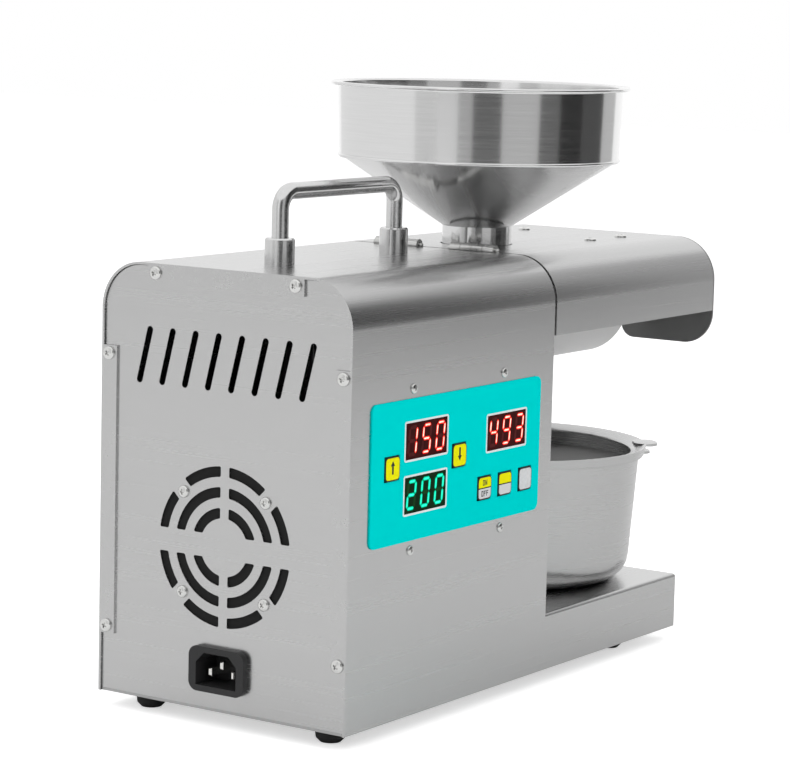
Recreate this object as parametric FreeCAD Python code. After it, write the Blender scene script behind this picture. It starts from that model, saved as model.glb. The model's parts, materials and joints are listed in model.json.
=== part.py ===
import FreeCAD, Part
import math
import os

Vector = FreeCAD.Vector
X_AXIS = Vector(1, 0, 0)
Y_AXIS = Vector(0, 1, 0)
Z_AXIS = Vector(0, 0, 1)

# Every length is in millimetres and every angle in degrees. The pieces are drawn from a working
# corner (x = 0 at the rear of the housing, y = 0 on its middle plane, z = 0 at its lower edge), and
# save() moves them so that the origin is under the middle of the whole press, on the table.

# --- housing: bent sheet, plates and feet ---
SHEET = 1.2                     # stainless sheet of the shell, cover, tray and rear plate
BODY_LENGTH = 183.4
BODY_WIDTH = 151.7
BODY_HEIGHT = 218.4
BODY_CORNER_R = 24.0            # bend between the side walls and the top
PLATE_GAP = 0.3                 # edge gap round plates that slip into the shell
TAB_WIDTH = 9.5                 # flanges of the shell that hold the rear plate
SIDE_TAB_LOW = 30.0
SIDE_TAB_LENGTH = 145.8
SIDE_SCREW_INSET, TOP_SCREW_INSET = 4.0, 5.0       # screws in from the ends of their tabs
TOP_TAB_LENGTH = 94.5
BULKHEAD_THICKNESS = 1.5
BULKHEAD_SET_BACK = 3.0         # bulkhead's front face behind the shell's front edge
BASE_THICKNESS = 1.5
FOOT_HEIGHT = 8.3
FOOT_R = 8.2
FOOT_TAPER = 1.0
FOOT_ROUND = 2.0
FOOT_SIDE_INSET = 20.3
FOOT_REAR_INSET = 17.7
FOOT_FRONT_INSET = 40.0

# --- base tray under the pot ---
TRAY_LENGTH = 143.8
TRAY_HEIGHT = 30.1
TRAY_BEND_R = 2.0

# --- rear plate openings ---
VENT_COUNT = 8
VENT_PITCH = 14.13
VENT_WIDTH = 3.6
VENT_HEIGHT = 28.6
VENT_LEAN = 7.1                 # sideways run of each slanted slot
VENT_DROP = 45.5                # middle of the slots below the top
FAN_Y = -1.2
FAN_Z = 82.4
GRILLE_OUTER_R = 40.0
GRILLE_SLOT = 5.2               # radial width of each arc slot
GRILLE_PITCH = 10.2             # from one ring of slots to the next
GRILLE_RINGS = 3
GRILLE_BAR = 5.1                # upright bar across the rings
GRILLE_BAND = 11.7              # plain band across the rings
GRILLE_SCREW_GAP = 9.8          # solid metal round each fan screw
GRILLE_CORNER_R = 0.8

# --- screws ---
SCREW_HEAD_R, SCREW_HEAD_H, SCREW_SHANK_R = 3.4, 1.9, 1.5
PANEL_HEAD_R, PANEL_HEAD_H = 2.5, 1.3
COVER_HEAD_R, COVER_HEAD_H = 3.5, 1.4
SCREW_LENGTH = 6.0
SCREW_HOLE_GAP = 0.1

# --- fan ---
FAN_SIZE = 60.0
FAN_DEPTH = 25.0
FAN_SCREW_SPACING = 50.0
FAN_BORE_R = 28.6
FAN_TIP_GAP = 0.8
FAN_HUB_R = 14.0
FAN_PIN_R = 2.0
FAN_BLADES = 7
FAN_BLADE_THICKNESS = 1.2
FAN_BLADE_CHORD = 15.0
FAN_BLADE_ANGLE = 40.0
FAN_STRUT = 4.0
FILTER_THICKNESS = 1.0
RUNNING_GAP = 0.05              # radial clearance of shafts and pins that turn

# --- mains inlet ---
INLET_Z = 21.2
INLET_WIDTH, INLET_HEIGHT, INLET_CORNER_R = 33.6, 22.6, 5.0
INLET_PROUD = 3.4
INLET_BODY_WIDTH, INLET_BODY_HEIGHT = 28.6, 20.4
RECESS_WIDTH, RECESS_HEIGHT, RECESS_CHAMFER, RECESS_DEPTH = 24.6, 16.4, 4.8, 17.0
INLET_FLOOR = 2.0
INLET_PIN_SPACING = 14.0
INLET_PIN_WIDTH, INLET_PIN_THICKNESS = 4.0, 2.0
INLET_PIN_OFFSET = 2.0          # earth pin above the middle, the other two below it
INLET_PIN_SET_BACK = 4.4        # pin tips behind the bezel

# --- control panel on the left wall ---
PANEL_X0, PANEL_X1 = 16.4, 170.3
PANEL_Z0, PANEL_Z1 = 88.2, 158.1
PANEL_THICKNESS = 0.8
PANEL_CORNER_R = 4.0
DISPLAY_WIDTH, DISPLAY_HEIGHT = 37.8, 19.2
DISPLAY_CENTRES = {
    "display_actual": (63.8, 137.4),
    "display_target": (63.7, 110.8),
    "display_timer": (137.6, 133.3),
}
DISPLAY_SET_BACK = 0.2
KEY_WIDTH, KEY_HEIGHT = 12.6, 12.0
KEY_CENTRES = {
    "key_up": (34.0, 125.8),
    "key_down": (93.3, 125.6),
    "key_power": (117.6, 106.0),
    "key_press": (136.9, 105.9),
    "key_clear": (156.4, 106.0),
}
KEY_PROUD = 0.6
KEY_TRAVEL = 0.5
KEY_GAP = 0.25
KEY_CORNER_R = 1.2
PANEL_SCREW_X = (52.6, 135.2)
PANEL_SCREW_Z = (83.1, 162.8)
BOARD_GAP = 2.7                 # shell wall to circuit board
BOARD_THICKNESS = 1.6
BOARD_MARGIN = 5.0              # board beyond its screws, up and down
STANDOFF_R = 3.0

# --- handle ---
HANDLE_REAR_X = 44.2
HANDLE_SPAN = 100.0
HANDLE_R = 4.0
HANDLE_RISE = 36.0              # top of the housing to the middle of the bar
HANDLE_BEND_R = 9.0
COLLAR_R, COLLAR_HEIGHT, COLLAR_CHAMFER = 7.5, 13.0, 0.8
NUT_FLATS, NUT_HEIGHT = 13.0, 6.5

# --- press axis, motor and gearbox ---
PRESS_AXIS_DROP = 36.9          # press axis below the top of the housing
GEAR_CENTRES = 99.0             # motor axis below the press axis
MOTOR_R = 33.0
MOTOR_LENGTH = 88.0
MOTOR_BELL_R = 26.0
MOTOR_BELL_LENGTH = 8.0
GEARBOX_LENGTH = 42.0
GEARBOX_LOW_R = 36.0
GEARBOX_TOP_R = 30.0
GEARBOX_SPLIT = 14.0            # thickness of the gearbox's front half
GEARBOX_FLANGE = 3.0
BRACKET_WIDTH, BRACKET_LENGTH, BRACKET_THICKNESS = 90.0, 60.0, 3.0

# --- press barrel, cage, nose and screw ---
BORE_R = 13.0
BARREL_R = 19.0
BARREL_LENGTH = 90.0
FLANGE_R, FLANGE_THICKNESS = 30.0, 8.0
FLANGE_BOLT_CIRCLE_R = 24.5
BOLT_HEAD_FLATS, BOLT_HEAD_H = 8.0, 3.5
THROAT_R = 24.0
THROAT_TOP_GAP = 3.2            # top of the throat below the cover's sheet
THROAT_SEAT_DEPTH = 2.6         # recess that the hopper's neck stands in
THROAT_BOTTOM_R = 11.0
CAGE_LENGTH = 56.0
CAGE_COLLAR_R, CAGE_COLLAR_LENGTH = 21.0, 5.0
CAGE_SLOTS = 16
CAGE_SLOT_WIDTH = 1.2
CAGE_SLOT_LENGTH = 42.0
HEATER_LENGTH, HEATER_THICKNESS = 18.0, 3.2
PROBE_R, PROBE_LENGTH, PROBE_DEPTH, PROBE_FLATS = 1.4, 13.5, 3.0, 4.6
NOSE_R = 22.0
NOSE_GRIP = 8.0                 # length of cage inside the nose cap
NOSE_BODY_LENGTH = 22.0
NOSE_CONE_LENGTH = 11.0
NOSE_TIP_R, NOSE_TIP_LENGTH = 15.0, 11.0
NOSE_MOUTH_R = 10.0
NOSE_GROOVES = 8
NOSE_GROOVE_R = 1.6
SCREW_TIP_GAP = 0.15            # flight tip to bore
FLIGHT_WIDTH = 3.0
FLIGHT_ZONES = ((20.0, 2.5), (14.0, 3.0), (10.5, 4.0))   # pitch and turns, tightening forwards
ROOT_REAR_R, ROOT_FRONT_R = 7.4, 11.4
SHAFT_R = 9.0
SHAFT_ENGAGEMENT = 30.0         # shaft inside the gearbox
SCREW_CONE_LENGTH, SCREW_CONE_TIP_R = 18.0, 6.5

# --- drip trough under the barrel ---
TROUGH_R = 31.5
TROUGH_NOSE_GAP = 1.5           # end of the trough behind the nose's cone
TROUGH_HOLE_R = 7.0
FIT_GAP = 0.3                   # between pieces that slip over one another

# --- head cover ---
COVER_GAP = 2.0                 # dark seam between housing and cover
COVER_LENGTH = 173.6
COVER_SIDE_HEIGHT = 40.8
COVER_FRONT_HEIGHT = 60.3       # front plate, down to the ends of its lobes
COVER_NOTCH_HALF = 17.0
LOBE_OUTER_R, LOBE_INNER_R = 18.0, 8.0
COVER_SCREW_INSET = 32.3        # front screws behind the front plate
COVER_SCREW_SPACING = 34.0
COVER_SCREW_Y = 32.0
STIFFENER_MARGIN = 9.0
STIFFENER_THICKNESS = 1.5

# --- hinges at the seam ---
HINGE_RISE = 0.8                # pin axis above the top faces
KNUCKLE_R = 3.0
HINGE_PIN_R = 1.25
HINGE_START_Y = 10.4            # inner end of each hinge, from the middle plane
KNUCKLE_LENGTH = 6.6
KNUCKLE_GAP = 0.3
KNUCKLES = 4
LEAF_THICKNESS = 1.2
LEAF_LENGTH = 13.0
HINGE_NOTCH_GAP = 0.5
PIN_TIP = 2.2

# --- hopper ---
HOPPER_REACH = 41.3             # hopper's axis in front of the housing
HOPPER_WALL = 1.0
NECK_R = 18.9
NECK_RISE = 9.9                 # top of the neck above the cover
NECK_HOLE_GAP = 0.7
CONE_HEIGHT, CONE_TOP_R = 36.9, 75.7
RIM_HEIGHT, RIM_WALL_R, RIM_R = 39.6, 76.8, 80.9
RIM_BEAD_R = 1.3

# --- pot and strainer ---
POT_REACH = 84.6                # pot's axis in front of the housing
POT_FLOOR_R = 53.2
POT_CORNER_R = 14.0
POT_TOP_R, POT_HEIGHT = 71.2, 69.5
POT_WALL = 0.8
POT_BEAD_R = 1.2
STRAINER_RIM_R = 75.2
STRAINER_RISE = 5.6             # top of its rim above the pot's
STRAINER_WALL_R = 67.5
STRAINER_DEPTH = 10.5
STRAINER_SHEET = 0.9
MESH_THICKNESS = 0.8
EAR_ANGLES = (-52.0, 128.0)
EAR_REACH, EAR_HALF_WIDTH, EAR_THICKNESS = 6.8, 9.0, 1.4
EAR_HOLE_R = 2.2

# --- places that follow from the sizes above ---
HALF_WIDTH = BODY_WIDTH / 2
INNER_TOP_Z = BODY_HEIGHT - SHEET
REAR_FACE_X = SHEET                                  # outer face of the rear plate
REAR_INSIDE_X = 2 * SHEET
BULKHEAD_FRONT_X = BODY_LENGTH - BULKHEAD_SET_BACK
BULKHEAD_REAR_X = BULKHEAD_FRONT_X - BULKHEAD_THICKNESS
TRAY_END_X = BODY_LENGTH + TRAY_LENGTH
COVER_REAR_X = BODY_LENGTH + COVER_GAP
COVER_FRONT_X = COVER_REAR_X + COVER_LENGTH
COVER_SIDE_Z = BODY_HEIGHT - COVER_SIDE_HEIGHT
COVER_LOBE_Z = BODY_HEIGHT - COVER_FRONT_HEIGHT
COVER_SCREW_X = (COVER_FRONT_X - COVER_SCREW_INSET - COVER_SCREW_SPACING, COVER_FRONT_X - COVER_SCREW_INSET)
HINGE_X = BODY_LENGTH + COVER_GAP / 2
HINGE_Z = BODY_HEIGHT + HINGE_RISE
HINGE_NOTCH = KNUCKLE_R + HINGE_NOTCH_GAP
HINGE_LENGTH = KNUCKLES * KNUCKLE_LENGTH + (KNUCKLES - 1) * KNUCKLE_GAP
PRESS_Z = BODY_HEIGHT - PRESS_AXIS_DROP
MOTOR_Z = PRESS_Z - GEAR_CENTRES
GEARBOX_REAR_X = BULKHEAD_REAR_X - GEARBOX_LENGTH
MOTOR_REAR_X = GEARBOX_REAR_X - MOTOR_LENGTH
BARREL_END_X = BULKHEAD_FRONT_X + BARREL_LENGTH
CAGE_END_X = BARREL_END_X + CAGE_LENGTH
PROBE_X = BARREL_END_X + CAGE_COLLAR_LENGTH / 2
NOSE_START_X = CAGE_END_X - NOSE_GRIP
NOSE_CONE_X = NOSE_START_X + NOSE_BODY_LENGTH
NOSE_TIP_X = NOSE_CONE_X + NOSE_CONE_LENGTH
NOSE_END_X = NOSE_TIP_X + NOSE_TIP_LENGTH
TROUGH_END_X = NOSE_CONE_X - TROUGH_NOSE_GAP
THROAT_TOP_Z = INNER_TOP_Z - THROAT_TOP_GAP
SEAT_Z = THROAT_TOP_Z - THROAT_SEAT_DEPTH
HOPPER_X = BODY_LENGTH + HOPPER_REACH
NECK_TOP_Z = BODY_HEIGHT + NECK_RISE
CONE_TOP_Z = NECK_TOP_Z + CONE_HEIGHT
RIM_Z = CONE_TOP_Z + RIM_HEIGHT
POT_X = BODY_LENGTH + POT_REACH
POT_TOP_Z = TRAY_HEIGHT + POT_HEIGHT
STRAINER_TOP_Z = POT_TOP_Z + STRAINER_RISE
PANEL_Y = -(HALF_WIDTH + PANEL_THICKNESS)            # outer face of the control panel
INNER_SIDE_Y = HALF_WIDTH - SHEET
BOARD_Y = -(INNER_SIDE_Y - BOARD_GAP)                # outer face of the circuit board
ORIGIN = Vector((REAR_FACE_X - INLET_PROUD + max(NOSE_END_X, COVER_FRONT_X)) / 2, 0, -FOOT_HEIGHT)


def box(x0, x1, y0, y1, z0, z1):
    return Part.makeBox(x1 - x0, y1 - y0, z1 - z0, Vector(x0, y0, z0))


def rod(x0, x1, y, z, r):
    return Part.makeCylinder(r, x1 - x0, Vector(x0, y, z), X_AXIS)


def post(x, y, z0, z1, r):
    return Part.makeCylinder(r, z1 - z0, Vector(x, y, z0), Z_AXIS)


def side_pin(x, y0, y1, z, r):
    return Part.makeCylinder(r, y1 - y0, Vector(x, y0, z), Y_AXIS)


def polygon(points):
    """Closed face through a list of points."""
    return Part.Face(Part.makePolygon(points + [points[0]]))


def revolve_x(profile, z):
    """Solid from (x, radius) points, turned about the line along x at height z."""
    face = polygon([Vector(x, 0, z + r) for x, r in profile])
    return face.revolve(Vector(0, 0, z), X_AXIS, 360)


def revolve_z(profile, x):
    """Solid from (radius, z) points, turned about the upright line at x."""
    face = polygon([Vector(x + r, 0, z) for r, z in profile])
    return face.revolve(Vector(x, 0, 0), Z_AXIS, 360)


def rounded_plate(x0, x1, z0, z1, r, y0, y1):
    """Plate upright on a side wall, with its four corners rounded."""
    plate = box(x0, x1, y0, y1, z0, z1)
    edges = [e for e in plate.Edges if abs(e.tangentAt(e.FirstParameter).y) > 0.9]
    return plate.makeFillet(r, edges)


def hexagon(flats, height, base, axis):
    """Hexagonal nut or bolt head."""
    r = flats / math.sqrt(3)
    points = [Vector(r * math.cos(math.radians(60 * i)), r * math.sin(math.radians(60 * i)), 0)
              for i in range(6)]
    prism = polygon(points).extrude(Vector(0, 0, height))
    prism.Placement = FreeCAD.Placement(base, FreeCAD.Rotation(Z_AXIS, axis))
    return prism


def fuse(shapes):
    """One solid from shapes that touch or overlap."""
    first, rest = shapes[0], shapes[1:]
    return first.fuse(rest).removeSplitter() if rest else first


def arch(x0, x1, inset, z0):
    """Solid with the housing's section, made smaller all round by inset, from z0 upwards."""
    half = HALF_WIDTH - inset
    top = BODY_HEIGHT - inset
    r = BODY_CORNER_R - inset
    k = r * math.sqrt(0.5)
    low_left, low_right = Vector(x0, -half, z0), Vector(x0, half, z0)
    left, right = Vector(x0, -half, top - r), Vector(x0, half, top - r)
    top_left, top_right = Vector(x0, -half + r, top), Vector(x0, half - r, top)
    bend_left = Vector(x0, -half + r - k, top - r + k)
    bend_right = Vector(x0, half - r + k, top - r + k)
    edges = [
        Part.LineSegment(low_left, left).toShape(),
        Part.Arc(left, bend_left, top_left).toShape(),
        Part.LineSegment(top_left, top_right).toShape(),
        Part.Arc(top_right, bend_right, right).toShape(),
        Part.LineSegment(right, low_right).toShape(),
        Part.LineSegment(low_right, low_left).toShape(),
    ]
    return Part.Face(Part.Wire(edges)).extrude(Vector(x1 - x0, 0, 0))


def hinge_notches(x0, x1, z0, z1):
    """Cut-outs round both hinges."""
    inner, outer = HINGE_START_Y - HINGE_NOTCH_GAP, HINGE_START_Y + HINGE_LENGTH + HINGE_NOTCH_GAP
    return [box(x0, x1, inner, outer, z0, z1), box(x0, x1, -outer, -inner, z0, z1)]


# --- housing ---

def tab_screw_places():
    """(y, z) of the six screws that hold the rear plate."""
    side_y = HALF_WIDTH - TAB_WIDTH / 2
    top_z = BODY_HEIGHT - TAB_WIDTH / 2
    top_y = TOP_TAB_LENGTH / 2 - TOP_SCREW_INSET
    heights = (SIDE_TAB_LOW + SIDE_SCREW_INSET, SIDE_TAB_LOW + SIDE_TAB_LENGTH - SIDE_SCREW_INSET)
    return [(s * side_y, z) for s in (1, -1) for z in heights] + [(top_y, top_z), (-top_y, top_z)]


def shell():
    body = arch(0, BODY_LENGTH, 0, 0).cut(arch(-1, BODY_LENGTH + 1, SHEET, -1))
    inner_y = HALF_WIDTH - TAB_WIDTH
    overlap = SHEET / 2
    top_half = TOP_TAB_LENGTH / 2
    tabs = [
        box(0, SHEET, inner_y, HALF_WIDTH - overlap, SIDE_TAB_LOW, SIDE_TAB_LOW + SIDE_TAB_LENGTH),
        box(0, SHEET, -HALF_WIDTH + overlap, -inner_y, SIDE_TAB_LOW, SIDE_TAB_LOW + SIDE_TAB_LENGTH),
        box(0, SHEET, -top_half, top_half, BODY_HEIGHT - TAB_WIDTH, BODY_HEIGHT - overlap),
    ]
    body = fuse([body] + tabs)
    cuts = [rod(-1, SHEET + 1, y, z, SCREW_SHANK_R + SCREW_HOLE_GAP) for y, z in tab_screw_places()]
    cuts += hinge_notches(HINGE_X - HINGE_NOTCH, BODY_LENGTH + 1, INNER_TOP_Z - 1, BODY_HEIGHT + 1)
    for x in (HANDLE_REAR_X, HANDLE_REAR_X + HANDLE_SPAN):
        cuts.append(post(x, 0, INNER_TOP_Z - 1, BODY_HEIGHT + 1, HANDLE_R + SCREW_HOLE_GAP))
    outer, inner = -HALF_WIDTH - 1, -INNER_SIDE_Y + 1
    for x in PANEL_SCREW_X:
        for z in PANEL_SCREW_Z:
            cuts.append(side_pin(x, outer, inner, z, SCREW_SHANK_R + SCREW_HOLE_GAP))
    for x, z in DISPLAY_CENTRES.values():
        cuts.append(window(x, z, DISPLAY_WIDTH, DISPLAY_HEIGHT, KEY_GAP, outer, inner))
    for x, z in KEY_CENTRES.values():
        cuts.append(window(x, z, KEY_WIDTH, KEY_HEIGHT, KEY_GAP, outer, inner))
    return body.cut(cuts)


def window(x, z, width, height, gap, y0, y1):
    """Rectangular opening through a side wall."""
    w, h = width / 2 + gap, height / 2 + gap
    return box(x - w, x + w, y0, y1, z - h, z + h)


def slanted_vent(y):
    """One slanted slot of the rear plate, with round ends."""
    r = VENT_WIDTH / 2
    lean = math.atan2(VENT_LEAN, VENT_HEIGHT)
    half = (VENT_HEIGHT / 2 - r) / math.cos(lean)
    x0, x1 = REAR_FACE_X - 1, REAR_INSIDE_X + 1
    slot = fuse([box(x0, x1, -r, r, -half, half), rod(x0, x1, 0, half, r), rod(x0, x1, 0, -half, r)])
    slot.rotate(Vector(0, 0, 0), X_AXIS, math.degrees(lean))
    slot.translate(Vector(0, y, BODY_HEIGHT - VENT_DROP))
    return slot


def grille_slots():
    """Arc slots in three rings in front of the fan."""
    x0, x1 = REAR_FACE_X - 1, REAR_INSIDE_X + 1
    reach = GRILLE_OUTER_R + 1
    bars = [box(x0, x1, FAN_Y - GRILLE_BAR / 2, FAN_Y + GRILLE_BAR / 2, FAN_Z - reach, FAN_Z + reach),
            box(x0, x1, FAN_Y - reach, FAN_Y + reach, FAN_Z - GRILLE_BAND / 2, FAN_Z + GRILLE_BAND / 2)]
    slots = []
    for ring in range(GRILLE_RINGS):
        outer_r = GRILLE_OUTER_R - ring * GRILLE_PITCH
        annulus = rod(x0, x1, FAN_Y, FAN_Z, outer_r).cut(rod(x0, x1, FAN_Y, FAN_Z, outer_r - GRILLE_SLOT))
        cutters = list(bars)
        if ring == 0:
            cutters += screw_lands(x0, x1, reach)
        for piece in annulus.cut(cutters).Solids:
            along = [e for e in piece.Edges if abs(e.tangentAt(e.FirstParameter).x) > 0.9]
            slots.append(piece.makeFillet(GRILLE_CORNER_R, along))
    return slots


def screw_lands(x0, x1, reach):
    """Diagonal strips of the outer ring that stay solid round the fan screws."""
    strips = []
    for turn in (45, 135):
        strip = box(x0, x1, -reach, reach, -GRILLE_SCREW_GAP / 2, GRILLE_SCREW_GAP / 2)
        strip.rotate(Vector(0, 0, 0), X_AXIS, turn)
        strip.translate(Vector(0, FAN_Y, FAN_Z))
        strips.append(strip)
    return strips


def fan_screw_places():
    half = FAN_SCREW_SPACING / 2
    return [(FAN_Y + sy * half, FAN_Z + sz * half) for sy in (1, -1) for sz in (1, -1)]


def rear_plate():
    plate = arch(REAR_FACE_X, REAR_INSIDE_X, SHEET + PLATE_GAP, BASE_THICKNESS)
    x0, x1 = REAR_FACE_X - 1, REAR_INSIDE_X + 1
    first = -VENT_PITCH * (VENT_COUNT - 1) / 2
    cuts = [slanted_vent(first + i * VENT_PITCH) for i in range(VENT_COUNT)]
    cuts += grille_slots()
    hole_r = SCREW_SHANK_R + SCREW_HOLE_GAP
    cuts += [rod(x0, x1, y, z, hole_r) for y, z in fan_screw_places() + tab_screw_places()]
    w, h = INLET_BODY_WIDTH / 2 + SCREW_HOLE_GAP, INLET_BODY_HEIGHT / 2 + SCREW_HOLE_GAP
    cuts.append(box(x0, x1, -w, w, INLET_Z - h, INLET_Z + h))
    return plate.cut(cuts)


def front_bulkhead():
    plate = arch(BULKHEAD_REAR_X, BULKHEAD_FRONT_X, SHEET + PLATE_GAP, BASE_THICKNESS)
    x0, x1 = BULKHEAD_REAR_X - 1, BULKHEAD_FRONT_X + 1
    cuts = hinge_notches(x0, x1, INNER_TOP_Z - LEAF_THICKNESS - PLATE_GAP, INNER_TOP_Z + 1)
    cuts.append(rod(x0, x1, 0, PRESS_Z, BORE_R))
    return plate.cut(cuts)


def base_plate():
    half = INNER_SIDE_Y - PLATE_GAP
    return box(REAR_FACE_X, TRAY_END_X - SHEET - PLATE_GAP, -half, half, 0, BASE_THICKNESS)


def base_tray():
    outer = box(BODY_LENGTH, TRAY_END_X, -HALF_WIDTH, HALF_WIDTH, 0, TRAY_HEIGHT)
    top = [e for e in outer.Edges if min(v.Z for v in e.Vertexes) > TRAY_HEIGHT - 1
           and max(v.X for v in e.Vertexes) > BODY_LENGTH + 1]
    upright = [e for e in outer.Edges if min(v.X for v in e.Vertexes) > TRAY_END_X - 1
               and max(v.Z for v in e.Vertexes) - min(v.Z for v in e.Vertexes) > 1]
    outer = outer.makeFillet(TRAY_BEND_R, top + upright)
    inner = box(BODY_LENGTH - 1, TRAY_END_X - SHEET, -INNER_SIDE_Y, INNER_SIDE_Y, -1, TRAY_HEIGHT - SHEET)
    return outer.cut(inner)


def feet():
    profile = [(0, 0), (FOOT_R, 0), (FOOT_R - FOOT_TAPER, FOOT_ROUND - FOOT_HEIGHT),
               (FOOT_R - FOOT_TAPER - FOOT_ROUND, -FOOT_HEIGHT), (0, -FOOT_HEIGHT)]
    solids = []
    for x in (FOOT_REAR_INSET, TRAY_END_X - FOOT_FRONT_INSET):
        for side in (1, -1):
            foot = revolve_z(profile, 0)
            foot.translate(Vector(x, side * (HALF_WIDTH - FOOT_SIDE_INSET), 0))
            solids.append(foot)
    return solids


def screw_x(y, z, face_x, head_r, head_h):
    """Screw driven forwards into the rear of the housing, its head on face_x."""
    return fuse([rod(face_x - head_h, face_x, y, z, head_r),
                 rod(face_x, face_x + SCREW_LENGTH, y, z, SCREW_SHANK_R)])


def tab_screws():
    return [screw_x(y, z, 0, SCREW_HEAD_R, SCREW_HEAD_H) for y, z in tab_screw_places()]


def fan_screws():
    return [screw_x(y, z, REAR_FACE_X, SCREW_HEAD_R - 0.3, SCREW_HEAD_H) for y, z in fan_screw_places()]


def panel_screws():
    solids = []
    for x in PANEL_SCREW_X:
        for z in PANEL_SCREW_Z:
            head = side_pin(x, -HALF_WIDTH - PANEL_HEAD_H, -HALF_WIDTH, z, PANEL_HEAD_R)
            shank = side_pin(x, -HALF_WIDTH, -HALF_WIDTH + SCREW_LENGTH, z, SCREW_SHANK_R)
            solids.append(fuse([head, shank]))
    return solids


# --- fan, filter and inlet ---

def fan_square(x0, x1):
    half = FAN_SIZE / 2
    return box(x0, x1, FAN_Y - half, FAN_Y + half, FAN_Z - half, FAN_Z + half)


def dust_filter():
    x0, x1 = REAR_INSIDE_X, REAR_INSIDE_X + FILTER_THICKNESS
    reach = GRILLE_OUTER_R + 1
    sheet = rod(x0, x1, FAN_Y, FAN_Z, reach)
    hole_r = SCREW_SHANK_R + SCREW_HOLE_GAP
    return sheet.cut([rod(x0 - 1, x1 + 1, y, z, hole_r) for y, z in fan_screw_places()])


def fan_span():
    x0 = REAR_INSIDE_X + FILTER_THICKNESS
    return x0, x0 + FAN_DEPTH


def fan_frame():
    x0, x1 = fan_span()
    frame = fan_square(x0, x1)
    upright = [e for e in frame.Edges if abs(e.tangentAt(e.FirstParameter).x) > 0.9]
    frame = frame.makeFillet(FAN_STRUT, upright).cut(rod(x0 - 1, x1 + 1, FAN_Y, FAN_Z, FAN_BORE_R))
    strut_x = x1 - FAN_STRUT
    arms = [box(strut_x, x1, FAN_Y - FAN_BORE_R - 1, FAN_Y + FAN_BORE_R + 1,
                FAN_Z - FAN_STRUT / 2, FAN_Z + FAN_STRUT / 2),
            box(strut_x, x1, FAN_Y - FAN_STRUT / 2, FAN_Y + FAN_STRUT / 2,
                FAN_Z - FAN_BORE_R - 1, FAN_Z + FAN_BORE_R + 1)]
    hub = rod(strut_x, x1, FAN_Y, FAN_Z, FAN_HUB_R)
    pin = rod(x0 + FAN_STRUT, strut_x, FAN_Y, FAN_Z, FAN_PIN_R)
    frame = fuse([frame, hub, pin] + arms)
    hole_r = SCREW_SHANK_R + SCREW_HOLE_GAP
    return frame.cut([rod(x0 - 1, x1 + 1, y, z, hole_r) for y, z in fan_screw_places()])


def fan_rotor():
    x0, x1 = fan_span()
    end_gap = 1.0
    rear_x, front_x = x0 + 2 * end_gap, x1 - FAN_STRUT - end_gap
    middle_x = (rear_x + front_x) / 2
    hub = rod(rear_x, front_x, FAN_Y, FAN_Z, FAN_HUB_R - end_gap)
    tip_r = FAN_BORE_R - FAN_TIP_GAP
    blades = []
    for i in range(FAN_BLADES):
        half_t, half_c = FAN_BLADE_THICKNESS / 2, FAN_BLADE_CHORD / 2
        blade = box(-half_c, half_c, -half_t, half_t, FAN_HUB_R / 2, tip_r + 1)
        blade.rotate(Vector(0, 0, 0), Z_AXIS, FAN_BLADE_ANGLE)
        blade.rotate(Vector(0, 0, 0), X_AXIS, 360.0 / FAN_BLADES * i)
        blade.translate(Vector(middle_x, FAN_Y, FAN_Z))
        blades.append(blade)
    wheel = fuse([hub] + blades).common(rod(rear_x, front_x, FAN_Y, FAN_Z, tip_r))
    return wheel.cut(rod(rear_x + end_gap, front_x + 1, FAN_Y, FAN_Z, FAN_PIN_R + RUNNING_GAP))


def power_inlet():
    face_x = REAR_FACE_X - INLET_PROUD
    half_w, half_h = INLET_WIDTH / 2, INLET_HEIGHT / 2
    bezel = box(face_x, REAR_FACE_X, -half_w, half_w, INLET_Z - half_h, INLET_Z + half_h)
    along = [e for e in bezel.Edges if abs(e.tangentAt(e.FirstParameter).x) > 0.9]
    bezel = bezel.makeFillet(INLET_CORNER_R, along)
    floor_x = face_x + RECESS_DEPTH
    w, h = INLET_BODY_WIDTH / 2, INLET_BODY_HEIGHT / 2
    body = box(REAR_FACE_X, floor_x + INLET_FLOOR, -w, w, INLET_Z - h, INLET_Z + h)
    rw, rh, c = RECESS_WIDTH / 2, RECESS_HEIGHT / 2, RECESS_CHAMFER
    outline = [(-rw, -rh), (rw, -rh), (rw, rh - c), (rw - c, rh), (c - rw, rh), (-rw, rh - c)]
    recess = polygon([Vector(face_x - 1, y, INLET_Z + z) for y, z in outline])
    return fuse([bezel, body]).cut(recess.extrude(Vector(RECESS_DEPTH + 1, 0, 0)))


def inlet_pins():
    face_x = REAR_FACE_X - INLET_PROUD
    tip_x, floor_x = face_x + INLET_PIN_SET_BACK, face_x + RECESS_DEPTH
    half_t, half_w = INLET_PIN_THICKNESS / 2, INLET_PIN_WIDTH / 2
    places = [(0, INLET_PIN_OFFSET), (INLET_PIN_SPACING / 2, -INLET_PIN_OFFSET),
              (-INLET_PIN_SPACING / 2, -INLET_PIN_OFFSET)]
    pins = []
    for y, dz in places:
        z = INLET_Z + dz
        pin = box(tip_x, floor_x, y - half_t, y + half_t, z - half_w, z + half_w)
        tip = [e for e in pin.Edges if max(v.X for v in e.Vertexes) < tip_x + 0.1]
        pins.append(pin.makeChamfer(half_t / 2, tip))
    return pins


# --- control panel ---

def control_panel():
    panel = rounded_plate(PANEL_X0, PANEL_X1, PANEL_Z0, PANEL_Z1, PANEL_CORNER_R, PANEL_Y, -HALF_WIDTH)
    cuts = []
    for x, z in DISPLAY_CENTRES.values():
        cuts.append(window(x, z, DISPLAY_WIDTH, DISPLAY_HEIGHT, 0, PANEL_Y - 1, -HALF_WIDTH + 1))
    for x, z in KEY_CENTRES.values():
        cuts.append(window(x, z, KEY_WIDTH, KEY_HEIGHT, KEY_GAP, PANEL_Y - 1, -HALF_WIDTH + 1))
    return panel.cut(cuts)


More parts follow.
